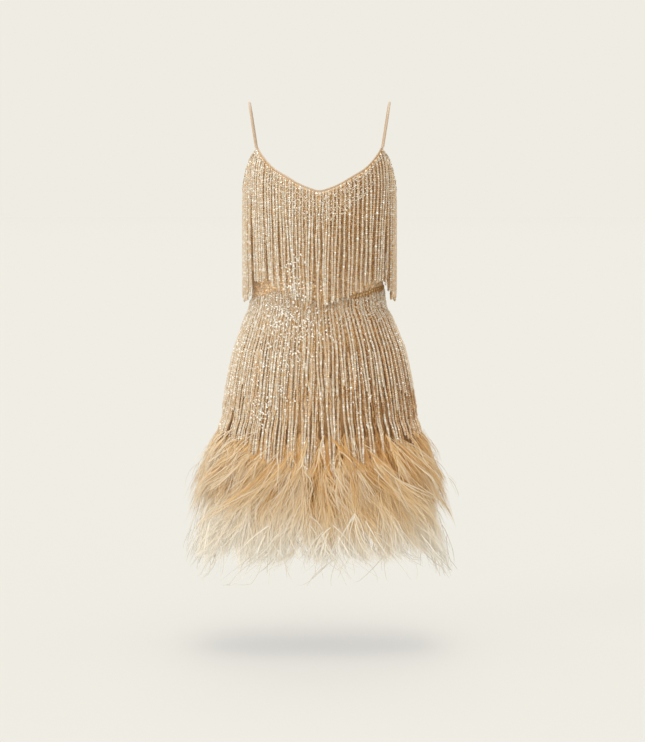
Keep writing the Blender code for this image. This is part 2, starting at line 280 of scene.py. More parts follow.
@dataclass(frozen=True)
class Form:
    """The hollow, filled-out shape that every piece is laid on."""

    roundness: float = 2.4
    high: float = -0.080
    low: float = -0.930
    step: float = 0.001
    nudge: float = 0.001
    bold_from: float = 0.30
    bold_full: float = 0.55
    hip_end: float = -0.620
    hip_dip: float = 0.068
    feather_top: float = -0.590
    feather_slope: float = 0.14

    def section(self, z: np.ndarray, draped: bool = False) -> np.ndarray:
        """Sizes of the section at each height.

        Args:
            z: Heights.
            draped: Gives a curtain that hangs plumb from the widest place above.

        Returns:
            Rows of half width, front depth, back depth and shift.
        """
        z = np.asarray(z, float)
        knots = SECTIONS[:, 0]
        if not draped:
            return np.stack([smooth_curve(z, knots, SECTIONS[:, k])
                             for k in range(1, 5)], -1)
        levels = np.arange(self.high, self.low, -self.step)
        sizes = np.maximum.accumulate(self.section(levels)[:, :3], axis=0)
        read = [np.interp(-z, -levels, sizes[:, k]) for k in range(3)]
        return np.stack([*read, np.zeros_like(z)], -1)

    def point(self, phi: np.ndarray, z: np.ndarray, offset: Union[float, np.ndarray],
              draped: bool = False) -> np.ndarray:
        """Points round the dress.

        Args:
            phi: Angles round it, in radians.
            z: Heights.
            offset: How far outside the base cloth.
            draped: Follows the plumb curtain and not the cloth.

        Returns:
            One row for each point.
        """
        phi, z = np.broadcast_arrays(np.asarray(phi, float), np.asarray(z, float))
        sizes = self.section(z, draped)
        power = 2.0 / self.roundness
        across, out = np.cos(phi), np.sin(phi)
        depth = np.where(out >= 0, sizes[..., 1], sizes[..., 2])
        x = (sizes[..., 0] + offset) * signed_power(across, power)
        y = -(depth + offset) * signed_power(out, power)
        return np.stack([x + sizes[..., 3], y, z], -1)

    def outward(self, phi: np.ndarray, z: np.ndarray) -> np.ndarray:
        """Finds which way is straight out of the section.

        Args:
            phi: Angles in radians.
            z: Heights.

        Returns:
            Level directions.
        """
        ahead, behind = (self.point(np.asarray(phi) + turn, z, 0.0)
                         for turn in (self.nudge, -self.nudge))
        return unit(np.cross(UP, ahead - behind))

    def locate(self, points: np.ndarray) -> tuple[np.ndarray, np.ndarray]:
        """Finds where points lie round the dress.

        Args:
            points: Points in space.

        Returns:
            Their angles in radians and their distances outside the base cloth.
        """
        sizes = self.section(points[..., 2])
        x = points[..., 0] - sizes[..., 3]
        y = -points[..., 1]
        depth = np.where(y >= 0, sizes[..., 1], sizes[..., 2])
        across, out = x / sizes[..., 0], y / depth
        power = self.roundness
        phi = np.arctan2(signed_power(out, power / 2), signed_power(across, power / 2))
        scale = (np.abs(across) ** power + np.abs(out) ** power) ** (1.0 / power)
        return phi, np.hypot(x, y) * (1.0 - 1.0 / np.maximum(scale, 1e-6))

    def even_angles(self, start: float, end: float, count: int, z: float) -> np.ndarray:
        """Angles in degrees that space points evenly along a section.

        Args:
            start: First angle in degrees.
            end: Last angle in degrees.
            count: How many.
            z: Height at which the spacing is even.

        Returns:
            The angles in degrees.
        """
        fine = np.linspace(start, end, FINE_STEPS)
        run = run_along(self.point(np.radians(fine), np.full(fine.shape, z), 0.0))
        return np.interp(np.linspace(0.0, run[-1], count), run, fine)

    def _edge(self, phi: np.ndarray, column: int) -> np.ndarray:
        """Reads the edge table, with a corner at the strap foot.

        Args:
            phi: Angles in radians.
            column: The table's column.

        Returns:
            Heights.
        """
        turn = np.degrees(np.asarray(phi, float)) % 180.0
        angle = np.where(turn > 90.0, 180.0 - turn, turn)
        corner = int(np.argmin(np.abs(EDGES[:, 0] - APEX)))
        arm, neck = EDGES[:corner + 1], EDGES[corner:]
        return np.where(angle <= APEX, smooth_curve(angle, arm[:, 0], arm[:, column]),
                        smooth_curve(angle, neck[:, 0], neck[:, column]))

    def _either(self, phi: np.ndarray, front: int, back: int) -> np.ndarray:
        """Reads one column of the edge table on the front and one on the back."""
        is_front = np.degrees(np.asarray(phi, float)) % 360.0 <= 180.0
        return np.where(is_front, self._edge(phi, front), self._edge(phi, back))

    def top_edge(self, phi: np.ndarray) -> np.ndarray:
        """Height of the cloth's top edge."""
        return self._either(phi, 1, 2)

    def fringe_end(self, phi: np.ndarray) -> np.ndarray:
        """Height where the bodice strands end."""
        return self._either(phi, 3, 4)

    def waist(self, phi: np.ndarray) -> np.ndarray:
        """Height of the waist seam.

        Args:
            phi: Angles in radians.

        Returns:
            Heights.
        """
        turn = np.degrees(np.asarray(phi, float)) % 360.0
        front = smooth_curve(np.minimum(turn, 180.0), WAIST[:, 0], WAIST[:, 1])
        back = smooth_curve(360.0 - np.maximum(turn, 180.0), WAIST[:, 0], WAIST[:, 2])
        return np.where(turn <= 180.0, front, back)

    def braid_bold(self, phi: np.ndarray) -> np.ndarray:
        """How far the braid stands out: only on the wearer's left."""
        return ease(np.cos(phi), self.bold_from, self.bold_full)

    def hip_fringe_end(self, phi: np.ndarray) -> np.ndarray:
        """Height where the lower hip strands end."""
        return self.hip_end - self.hip_dip * np.abs(np.sin(phi)) ** 3

    def over_feathers(self, z: np.ndarray) -> np.ndarray:
        """How far the feathers push the lower strands out."""
        return np.clip(self.feather_top - z, 0.0, None) * self.feather_slope


# ---- shader tools

Number = Union[int, float]


class Value:
    """A number that varies over a surface. Arithmetic on it adds Math nodes."""

    def __init__(self, tree: bpy.types.NodeTree, socket: bpy.types.NodeSocket) -> None:
        """Wraps an output socket."""
        self.tree = tree
        self.socket = socket

    def _math(self, operation: str, first: "Operand", second: "Operand") -> "Value":
        """Adds one Math node.

        Args:
            operation: The node's operation.
            first: Left operand.
            second: Right operand.

        Returns:
            The result.
        """
        node = self.tree.nodes.new("ShaderNodeMath")
        node.operation = operation
        for place, operand in enumerate((first, second)):
            if isinstance(operand, Value):
                self.tree.links.new(operand.socket, node.inputs[place])
            else:
                node.inputs[place].default_value = float(operand)
        return Value(self.tree, node.outputs[0])

    def __add__(self, other: "Operand") -> "Value":
        """value + other."""
        return self._math("ADD", self, other)

    def __radd__(self, other: "Operand") -> "Value":
        """other + value."""
        return self._math("ADD", other, self)

    def __sub__(self, other: "Operand") -> "Value":
        """value - other."""
        return self._math("SUBTRACT", self, other)

    def __rsub__(self, other: "Operand") -> "Value":
        """other - value."""
        return self._math("SUBTRACT", other, self)

    def __mul__(self, other: "Operand") -> "Value":
        """value * other."""
        return self._math("MULTIPLY", self, other)

    def __rmul__(self, other: "Operand") -> "Value":
        """other * value."""
        return self._math("MULTIPLY", other, self)


Operand = Union[Value, Number]
Colour = tuple[float, float, float]
BLACK, WHITE = (0.0, 0.0, 0.0), (1.0, 1.0, 1.0)


class SurfaceBuilder:
    """Builds one material's nodes round a Principled shader."""

    def __init__(self, name: str, constants: dict[str, Union[Number, Colour]]) -> None:
        """Starts a material.

        Args:
            name: The material's name.
            constants: Values set straight on the shader's sockets.
        """
        self.material = bpy.data.materials.new(name)
        self.material.use_nodes = True
        self.tree = self.material.node_tree
        self.shader = self.tree.nodes["Principled BSDF"]
        for socket, value in constants.items():
            given = (*value, 1.0) if isinstance(value, tuple) else value
            self.shader.inputs[socket].default_value = given

    def node(self, kind: str, settings: Optional[dict] = None,
             inputs: Optional[dict] = None) -> bpy.types.Node:
        """Adds any node.

        Args:
            kind: The node's type.
            settings: Its own settings, set first; "stops" fills a colour ramp.
            inputs: Values or links for its sockets, by name or number.

        Returns:
            The node.
        """
        node = self.tree.nodes.new(kind)
        for key, value in (settings or {}).items():
            if key == "stops":
                self._fill_ramp(node.color_ramp, value)
            else:
                setattr(node, key, value)
        for key, value in (inputs or {}).items():
            self.feed(node.inputs[key], value)
        return node

    def _fill_ramp(self, ramp: bpy.types.ColorRamp,
                   stops: Sequence[tuple[float, Colour]]) -> None:
        """Sets a ramp's stops.

        Args:
            ramp: The ramp.
            stops: Places and colours, in order.
        """
        while len(ramp.elements) < len(stops):
            ramp.elements.new(0.5)
        for element, (place, colour) in zip(ramp.elements, stops):
            element.position = place
            element.color = (*colour, 1.0)

    def feed(self, socket: bpy.types.NodeSocket, value: object) -> None:
        """Links or sets one input socket.

        Args:
            socket: The input.
            value: A wrapped number, an output socket, a colour or a plain value.
        """
        if isinstance(value, Value):
            self.tree.links.new(value.socket, socket)
        elif isinstance(value, bpy.types.NodeSocket):
            self.tree.links.new(value, socket)
        elif isinstance(value, tuple) and len(value) == 3 and socket.type == "RGBA":
            socket.default_value = (*value, 1.0)
        else:
            socket.default_value = value

    def attribute(self, name: str) -> Value:
        """Reads one of the mesh's own numbers."""
        node = self.node("ShaderNodeAttribute", {"attribute_name": name})
        return Value(self.tree, node.outputs["Fac"])

    def position(self) -> bpy.types.NodeSocket:
        """Object coordinates, in metres."""
        return self.node("ShaderNodeTexCoord").outputs["Object"]

    def noise(self, scale: float, detail: float, rough: float = 0.5,
              stretch: Optional[Colour] = None) -> Value:
        """Soft noise from 0 to 1 in the part's own space.

        Args:
            scale: Cells for each metre.
            detail: Octaves.
            rough: How strong the finer octaves are.
            stretch: Scales the coordinates first, for streaks.

        Returns:
            The noise.
        """
        where = self.position()
        if stretch is not None:
            where = self.node("ShaderNodeVectorMath", {"operation": "MULTIPLY"},
                              {0: where, 1: stretch}).outputs[0]
        node = self.node("ShaderNodeTexNoise", {}, {
            "Vector": where, "Scale": scale, "Detail": detail, "Roughness": rough})
        return Value(self.tree, node.outputs["Fac"])

    def ramp(self, driver: Value, stops: Sequence[tuple[float, Colour]]
             ) -> bpy.types.NodeSocket:
        """A colour that a number picks from a ramp."""
        node = self.node("ShaderNodeValToRGB", {"stops": stops}, {0: driver})
        return node.outputs["Color"]

    def mix(self, share: Operand, first: object, second: object) -> bpy.types.NodeSocket:
        """Mixes two colours.

        Args:
            share: How much of the second.
            first: A colour or a colour socket.
            second: A colour or a colour socket.

        Returns:
            The mixed colour.
        """
        node = self.node("ShaderNodeMix", {"data_type": "RGBA"},
                         {0: share, 6: first, 7: second})
        return node.outputs[2]

    def bump(self, height: Value, distance: float, strength: float = 1.0) -> None:
        """Feeds a Bump node to the shader's normal.

        Args:
            height: Height from 0 to 1.
            distance: Real height of 1, in metres.
            strength: How much of it shows.
        """
        node = self.node("ShaderNodeBump", {}, {
            "Height": height, "Distance": distance, "Strength": strength})
        self.surface({"Normal": node.outputs["Normal"]})

    def surface(self, inputs: dict[str, object]) -> None:
        """Feeds the shader's own sockets, by name."""
        for name, value in inputs.items():
            self.feed(self.shader.inputs[name], value)


# ---- finishes

@dataclass(frozen=True)
class SequinClothFinish:
    """Stretch net sewn all over with small dull-gold sequins."""

    shadow: Colour = (0.600, 0.350, 0.130)
    body: Colour = (0.820, 0.570, 0.300)
    glint: Colour = (0.920, 0.760, 0.520)
    # net: the bare net's colour, kept dark also as painted shade under the fringe.
    net: Colour = (0.380, 0.215, 0.085)
    sequin: float = 0.0034
    patch_scale: float = 38.0
    bare_from: float = 0.42
    bare_rate: float = 14.0
    glow_from: float = 0.41
    glow_rate: float = 9.0
    slot: str = "base_cloth"

    def material(self) -> bpy.types.Material:
        """Builds the nodes.

        Returns:
            The material.
        """
        b = SurfaceBuilder("sequinned_net", {
            "Roughness": 0.42, "Metallic": 0.25, "Specular IOR Level": 0.5,
            "Emission Strength": 0.25})
        cells = b.node("ShaderNodeTexVoronoi", {"feature": "F1"}, {
            "Vector": b.position(), "Scale": 1.0 / self.sequin, "Randomness": 0.75})
        pick = b.node("ShaderNodeSeparateColor", {}, {0: cells.outputs["Color"]})
        facet = Value(b.tree, pick.outputs[0])
        rim = Value(b.tree, cells.outputs["Distance"])
        patch = b.noise(self.patch_scale, 3.0)
        # Each sequin's facet and the patch noise pick its colour, from a painted shadow
        # through the gold body to a painted glint; the rim term darkens each sequin's edge.
        tone = facet * 0.62 + patch * 0.5 - rim * 0.35
        colour = b.ramp(tone, [(0.12, self.shadow), (0.45, self.body), (0.86, self.glint)])
        where = b.node("ShaderNodeSeparateXYZ", {}, {0: b.position()})
        height = Value(b.tree, where.outputs[2])
        # Below the hip the cloth turns to the dark net colour: the bare net where the
        # sequins stop, and painted shade under the fringe.
        bare_and_shaded = b.ramp((height + self.bare_from) * self.bare_rate + 1.0,
                      [(0.0, WHITE), (1.0, BLACK)])
        cloth = b.mix(bare_and_shaded, colour, self.net)
        # A band at the waist glows in the cloth's colour: painted light that lifts the shade
        # under the bodice fringe.
        at_waist = b.ramp((height + self.glow_from) * self.glow_rate, [
            (0.0, BLACK), (0.2, WHITE), (0.8, WHITE), (1.0, BLACK)])
        b.surface({"Base Color": cloth, "Emission Color": b.mix(at_waist, BLACK, cloth)})
        b.bump(facet * 0.7 - rim, 0.0011)
        return b.material


@dataclass(frozen=True)
class SatinFinish:
    """Tan satin cut on the bias, for the bindings and the straps."""

    colour: Colour = (0.460, 0.335, 0.225)
    light: Colour = (0.550, 0.425, 0.310)
    streak_scale: float = 900.0
    patch_scale: float = 60.0
    weave_scale: float = 620.0
    slot: str = "binding"

    def material(self) -> bpy.types.Material:
        """Builds the nodes.

        Returns:
            The material.
        """
        b = SurfaceBuilder("tan_satin", {
            "Roughness": 0.45, "Sheen Weight": 0.35, "Sheen Roughness": 0.4})
        streak = b.noise(self.streak_scale, 2.0, 0.6, (1.0, 1.0, 0.35))
        patch = b.noise(self.patch_scale, 2.0)
        b.surface({"Base Color": b.mix(streak * 0.5 + patch * 0.5, self.colour,
                                       self.light)})
        weave = b.node("ShaderNodeTexWave", {"bands_direction": "DIAGONAL"}, {
            "Vector": b.position(), "Scale": self.weave_scale, "Distortion": 1.5,
            "Detail": 1.0})
        b.bump(Value(b.tree, weave.outputs["Fac"]), 0.00012, 0.7)
        return b.material


@dataclass(frozen=True)
class BraidFinish:
    """Old-gold metal thread."""

    dark: Colour = (0.330, 0.165, 0.050)
    light: Colour = (0.560, 0.340, 0.130)
    pale: Colour = (0.780, 0.560, 0.310)
    ply_scale: float = 480.0
    slot: str = "braid"

    def material(self) -> bpy.types.Material:
        """Builds the nodes.

        Returns:
            The material.
        """
        b = SurfaceBuilder("old_gold_braid", {"Roughness": 0.38, "Metallic": 0.45})
        ply = b.node("ShaderNodeTexWave", {"bands_direction": "DIAGONAL"}, {
            "Vector": b.position(), "Scale": self.ply_scale, "Distortion": 0.8,
            "Detail": 1.0})
        twist = Value(b.tree, ply.outputs["Fac"])
        gold = b.mix(twist, self.dark, self.light)
        b.surface({"Base Color": b.mix(b.attribute("tone"), gold, self.pale)})
        b.bump(twist, 0.0003, 0.8)
        return b.material


@dataclass(frozen=True)
class BeadFinish:
    """Silver-lined champagne glass beads, told apart by their tone."""

    stops: tuple[tuple[float, Colour], ...] = (
        (0.00, (0.320, 0.148, 0.042)),
        (0.30, (0.600, 0.390, 0.200)),
        (0.55, (0.620, 0.480, 0.325)),
        (0.80, (0.630, 0.550, 0.440)),
        (1.00, (0.860, 0.830, 0.770)),
    )
    patch_scale: float = 420.0
    slot: str = "bead_fringe"

    def material(self) -> bpy.types.Material:
        """Builds the nodes.

        Returns:
            The material.
        """
        # The beads glow a little in their own colour: painted light that lifts their shade.
        b = SurfaceBuilder("champagne_beads", {
            "Metallic": 0.30, "Coat Weight": 0.25, "Coat Roughness": 0.16,
            "Specular IOR Level": 0.6, "Emission Strength": 0.035})
        tone = b.attribute("tone")
        patch = b.noise(self.patch_scale, 2.0)
        glass = b.ramp(tone + (patch - 0.5) * 0.25, self.stops)
        b.surface({"Base Color": glass, "Emission Color": glass,
                   "Roughness": 0.44 - tone * 0.16})
        return b.material


@dataclass(frozen=True)
class PlumeFinish:
    """Dyed ostrich: tan at the root and cream where the barbs thin out."""

    name: str
    root: Colour
    middle: Colour
    tip: Colour
    slot: str
    faint: Colour = (0.540, 0.500, 0.425)
    streak_scale: float = 260.0
    # The plumes glow a little in their dye's colour: painted light that lifts the shade
    # among the barbs.
    painted_glow: float = 0.15

    def material(self) -> bpy.types.Material:
        """Builds the nodes.

        Returns:
            The material.
        """
        b = SurfaceBuilder(self.name, {
            "Roughness": 0.85, "Sheen Weight": 0.25, "Sheen Roughness": 0.45,
            "Specular IOR Level": 0.2, "Emission Strength": self.painted_glow})
        tone = b.attribute("tone")
        streak = b.noise(self.streak_scale, 2.0, 0.5, (1.0, 1.0, 0.25))
        dye = b.ramp(tone + (streak - 0.5) * 0.16, [
            (0.0, self.root), (0.45, self.middle), (0.88, self.tip), (1.0, self.faint)])
        b.surface({"Base Color": dye, "Emission Color": dye})
        b.bump(streak, 0.0004, 0.5)
        return b.material


@dataclass(frozen=True)
class StudioFinish:
    """Pale matt paper that glows a little, so that it looks even."""

    name: str
    paper: Colour
    glow: Colour

    def material(self) -> bpy.types.Material:
        """Makes the material."""
        return SurfaceBuilder(self.name, {
            "Base Color": self.paper, "Roughness": 1.0, "Specular IOR Level": 0.0,
            "Emission Color": self.glow, "Emission Strength": 1.0}).material


# ---- dressing a piece

@dataclass(frozen=True)
class Wardrobe:
    """Hands each piece its finish, its CAD node and its place in the part."""

    finishes: dict[str, bpy.types.Material]
    body: str = "root"

    def dress(self, piece: bpy.types.Object, slot: str, *nodes: str) -> bpy.types.Object:
        """Args:
            piece: The new piece.
            slot: The record's material slot.
            nodes: CAD nodes that it stands for.

        Returns:
            The piece.
        """
        piece.data.materials.append(self.finishes[slot])
        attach(piece, self.body)
        if nodes:
            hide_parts(*nodes)
        LOG.info("%s: %d faces", piece.name, len(piece.data.polygons))
        return piece


# ---- base cloth

@dataclass
class BaseCloth:
    """The close-fitting sequinned bodice and skirt under the fringe."""

    form: Form
    wardrobe: Wardrobe
    thickness: float = 0.0011
    seam: float = 0.0002
    columns: int = 73
    rows: int = 44
    hem: float = -0.770

    def creases(self, turn: np.ndarray, z: np.ndarray) -> np.ndarray:
        """How far soft creases push the cloth in or out.

        Args:
            turn: Angles in degrees.
            z: Heights.

        Returns:
            Offsets in metres.
        """
        folds = (
            # angle, height, slant, length, width, depth
            (24.0, -0.338, 0.30, 0.045, 0.006, -0.0011),
            (38.0, -0.352, -0.20, 0.050, 0.007, 0.0008),
            (58.0, -0.330, 0.15, 0.040, 0.006, -0.0007),
            (118.0, -0.345, -0.25, 0.048, 0.006, -0.0009),
            (139.0, -0.352, 0.35, 0.060, 0.007, -0.0012),
            (158.0, -0.336, -0.10, 0.040, 0.005, 0.0008),
            (205.0, -0.350, 0.25, 0.060, 0.007, -0.0011),
            (246.0, -0.340, -0.15, 0.045, 0.006, 0.0007),
            (275.0, -0.356, 0.10, 0.050, 0.007, -0.0009),
            (318.0, -0.344, -0.30, 0.055, 0.006, -0.0010),
            (200.0, -0.470, 0.9, 0.090, 0.010, -0.0014),
            (330.0, -0.480, -0.8, 0.100, 0.010, -0.0013),
            (95.0, -0.640, 1.3, 0.120, 0.012, 0.0018),
            (40.0, -0.700, 1.5, 0.100, 0.012, 0.0022),
            (140.0, -0.710, -1.4, 0.110, 0.011, 0.0020),
            (225.0, -0.690, 1.4, 0.100, 0.012, 0.0021),
            (300.0, -0.700, -1.5, 0.110, 0.011, 0.0019),
        )
        push = np.zeros(np.broadcast(turn, z).shape)
        for angle, height, slant, length, width, depth in folds:
            x = np.radians(turn - angle) * MEAN_RADIUS
            along = x * math.cos(slant) + (z - height) * math.sin(slant)
            across = -x * math.sin(slant) + (z - height) * math.cos(slant)
            push += depth * np.exp(-(along / length) ** 2 - (across / width) ** 2)
        return push

    def panel(self, name: str, half: Half, top: Callable, bottom: Callable
              ) -> bpy.types.Object:
        """Makes one panel as a thin closed shell.

        Args:
            name: The piece's name.
            half: Front or back.
            top: Gives the height of the upper edge at an angle in radians.
            bottom: Gives the height of the lower edge.

        Returns:
            The panel.
        """
        turn = np.linspace(half.start, half.start + 180.0, self.columns)
        phi = np.radians(turn)[:, None]
        share = np.linspace(0.0, 1.0, self.rows)[None]
        z = top(phi) * (1.0 - share) + bottom(phi) * share
        push = self.creases(turn[:, None], z)
        shift = np.array([0.0, -self.seam if half is Half.FRONT else self.seam, 0.0])
        layers = [self.form.point(phi, z, push - depth).reshape(-1, 3) + shift
                  for depth in (0.0, self.thickness)]
        faces = grid_triangles(self.columns, self.rows)
        size = self.columns * self.rows
        rim = np.concatenate([
            np.arange(self.columns) * self.rows,
            (self.columns - 1) * self.rows + np.arange(1, self.rows),
            np.arange(self.columns - 2, -1, -1) * self.rows + self.rows - 1,
            np.arange(self.rows - 2, 0, -1)])
        after = np.roll(rim, -1)
        edge = np.concatenate([np.stack([rim, rim + size, after], -1),
                               np.stack([after, rim + size, after + size], -1)])
        points = np.concatenate(layers)
        triangles = np.concatenate([faces, faces[:, ::-1] + size, edge])
        if not self._faces_out(points, triangles):
            triangles = triangles[:, ::-1]
        return self.wardrobe.dress(make_mesh(name, points, triangles, smooth=True),
                                   "base_cloth", name)

    @staticmethod
    def _faces_out(points: np.ndarray, triangles: np.ndarray) -> bool:
        """True if a closed mesh has its faces pointing out."""
        a, b, c = (points[triangles[:, k]] for k in range(3))
        return float(np.sum(a * np.cross(b, c))) > 0.0

    def build(self) -> dict[str, bpy.types.Object]:
        """Makes the four panels.

        Returns:
            The panels by node name.
        """
        edges = (
            # panel, upper edge, lower edge
            ("bodice", self.form.top_edge, lambda phi: self.form.waist(phi) + self.seam),
            ("skirt", lambda phi: self.form.waist(phi) - self.seam,
             lambda phi: np.full(np.shape(phi), self.hem)),
        )
        return {f"{part}_{half.value}": self.panel(f"{part}_{half.value}", half, top, bottom)
                for half in Half for part, top, bottom in edges}


# ---- edges and straps

@dataclass
class Trimmings:
    """Bound edges, rolled straps and the looped braid on the waist seam."""

    form: Form
    wardrobe: Wardrobe
    binding_height: float = 0.0018
    binding_depth: float = 0.0012
    binding_rise: float = 0.0024
    binding_sink: float = 0.0005
    binding_steps: int = 90
    binding_gap: float = 0.12
    strap_radius: float = 0.0022
    strap_top: float = 0.131
    strap_foot: float = 0.118
    strap_rise: float = 0.0040
    strap_sink: float = 0.0006
    strap_steps: int = 60
    braid_loops: int = 26
    points_a_loop: int = 10
    braid_rise: float = 0.0026
    braid_cord: float = 0.0009

    def binding(self, name: str, start: float, end: float) -> bpy.types.Object:
        """Makes one bound edge.

        Args:
            name: The piece's name.
            start: First angle in degrees.
            end: Last angle in degrees.

        Returns:
            The binding, a little uneven as a sewn one is.
        """
        turn = np.radians(np.linspace(start, end, self.binding_steps))
        path = self.form.point(turn, self.form.top_edge(turn) + self.binding_rise,
                               -self.binding_sink)
        path[:, 2] += 0.00012 * np.sin(turn * 61.0) + 0.0001 * np.sin(turn * 143.0)
        out = self.form.outward(turn, path[:, 2])
        points, faces = sweep(path, out, self.binding_depth, self.binding_height, 12, 2.6)
        return self.wardrobe.dress(make_mesh(name, points, faces, smooth=True),
                                   "binding", name)

    def strap(self, name: str, sign: int) -> bpy.types.Object:
        """Makes one strap, arched from foot to foot over the shoulder.

        Args:
            name: The piece's name.
            sign: 1 for the wearer's left and -1 for the right.

        Returns:
            The strap.
        """
        turn = np.linspace(0.0, np.pi, self.strap_steps + 1)
        feet = []
        for phi in (math.radians(APEX), -math.radians(APEX)):
            top = float(self.form.top_edge(np.array(phi)))
            foot = self.form.point(np.array(phi), np.array(top), -self.strap_sink)
            feet.append((foot[1], top + self.strap_rise))
        rise = np.sin(turn) ** 0.8
        front = turn <= np.pi / 2
        foot_y = np.where(front, feet[0][0], feet[1][0])
        foot_z = np.where(front, feet[0][1], feet[1][1])
        z = foot_z * (1.0 - rise) - self.strap_radius * rise
        x = self.strap_foot + (self.strap_top - self.strap_foot) * rise
        path = np.stack([sign * x, foot_y * np.abs(np.cos(turn)), z], -1)
        side = np.tile([1.0, 0.0, 0.0], (len(path), 1))
        points, faces = sweep(path, side, self.strap_radius, self.strap_radius, 12)
        return self.wardrobe.dress(make_mesh(name, points, faces, smooth=True),
                                   "binding", name)

    def braid(self, half: Half) -> bpy.types.Object:
        """Makes the braid: two cords that loop past each other along the seam.

        It is bolder and darker on the wearer's left.

        Args:
            half: Front or back.

        Returns:
            The braid.
        """
        start = half.start + 0.5
        pile = MeshPile()
        turn = np.radians(self.form.even_angles(
            start, start + 179.0, self.braid_loops * self.points_a_loop, -0.36))
        wave = np.linspace(0.0, self.braid_loops * 2 * np.pi, len(turn))
        bold = self.form.braid_bold(turn)
        rise = self.braid_rise * (0.45 + 1.45 * bold)
        for phase in (0.0, np.pi):
            z = self.form.waist(turn) + rise * np.sin(wave + phase)
            lift = 0.0012 + 0.0008 * np.cos(wave + phase) + 0.0010 * bold
            path = self.form.point(turn, z, lift)
            points, faces = sweep(path, self.form.outward(turn, z), self.braid_cord,
                                  self.braid_cord, 6)
            pile.add(points, faces, np.tile(0.62 - 0.55 * bold, 6))
        name = f"waist_braid_{half.value}"
        return self.wardrobe.dress(pile.build(name, smooth=True), "braid", name)

    def build(self) -> dict[str, bpy.types.Object]:
        """Makes every trimming.

        Returns:
            The pieces by node name.
        """
        bindings = (
            # name, first and last angle
            ("neck_binding_front", APEX, 180.0 - APEX),
            ("neck_binding_back", 180.0 + APEX, 360.0 - APEX),
            ("armhole_binding_left", -APEX, APEX),
            ("armhole_binding_right", 180.0 - APEX, 180.0 + APEX),
        )
        made = {name: self.binding(name, start + self.binding_gap, end - self.binding_gap)
                for name, start, end in bindings}
        for name, sign in (("strap_left", 1), ("strap_right", -1)):
            made[name] = self.strap(name, sign)
        for half in Half:
            made[f"waist_braid_{half.value}"] = self.braid(half)
        return made


# ---- beads

@dataclass(frozen=True)
class Bead:
    """One glass bead: a six-sided bicone."""

    radius: float
    length: float
    sides: int = 6

    def shape(self) -> tuple[np.ndarray, np.ndarray]:
        """Makes the bead along its own Z axis.

        Returns:
            Its points and its triangles.
        """
        turn = np.linspace(0.0, 2 * np.pi, self.sides, endpoint=False)
        ring = np.stack([np.cos(turn) * self.radius, np.sin(turn) * self.radius,
                         np.zeros(self.sides)], -1)
        tips = np.array([[0, 0, self.length / 2], [0, 0, -self.length / 2]])
        points = np.concatenate([ring, tips])
        i = np.arange(self.sides)
        after = (i + 1) % self.sides
        upper = np.stack([i, after, np.full(self.sides, self.sides)], -1)
        lower = np.stack([after, i, np.full(self.sides, self.sides + 1)], -1)
        return points, np.concatenate([upper, lower])


def string_beads(pile: MeshPile, path: np.ndarray, bead: Bead, pitch: float,
                 tones: Callable[[int, np.random.Generator], np.ndarray],
                 draw: np.random.Generator) -> None:
    """Strings beads along a path.

    Args:
        pile: Receives the beads.
        path: Points of the thread.
        bead: The bead.
        pitch: Distance between beads.
        tones: Gives the tones of a number of beads.
        draw: The random source.
    """
    run = run_along(path)
    count = max(int(run[-1] / pitch), 1)
    at = (np.arange(count) + 0.5) * pitch
    centre, ahead, behind = (
        np.stack([np.interp(at + shift, run, path[:, k]) for k in range(3)], -1)
        for shift in (0.0, pitch / 2, -pitch / 2))
    along = unit(unit(ahead - behind) + draw.normal(0.0, 0.06, (count, 3)))
    side = unit(np.cross(along, np.array([0.31, 0.95, 0.07])))
    other = np.cross(along, side)
    turn = draw.uniform(0.0, 2 * np.pi, count)
    size = draw.normal(1.0, 0.07, count)
    u = side * np.cos(turn)[:, None] + other * np.sin(turn)[:, None]
    v = other * np.cos(turn)[:, None] - side * np.sin(turn)[:, None]
    shape, faces = bead.shape()
    points = (centre[:, None] + size[:, None, None] * (
        shape[None, :, :1] * u[:, None] + shape[None, :, 1:2] * v[:, None]
        + shape[None, :, 2:] * along[:, None]))
    shift = (np.arange(count) * len(shape))[:, None, None]
    pile.add(points.reshape(-1, 3), (faces[None] + shift).reshape(-1, 3),
             np.repeat(tones(count, draw), len(shape)))


class Layer(Enum):
    """Which row of strands a strand belongs to."""

    OUTER = "outer"
    INNER = "inner"


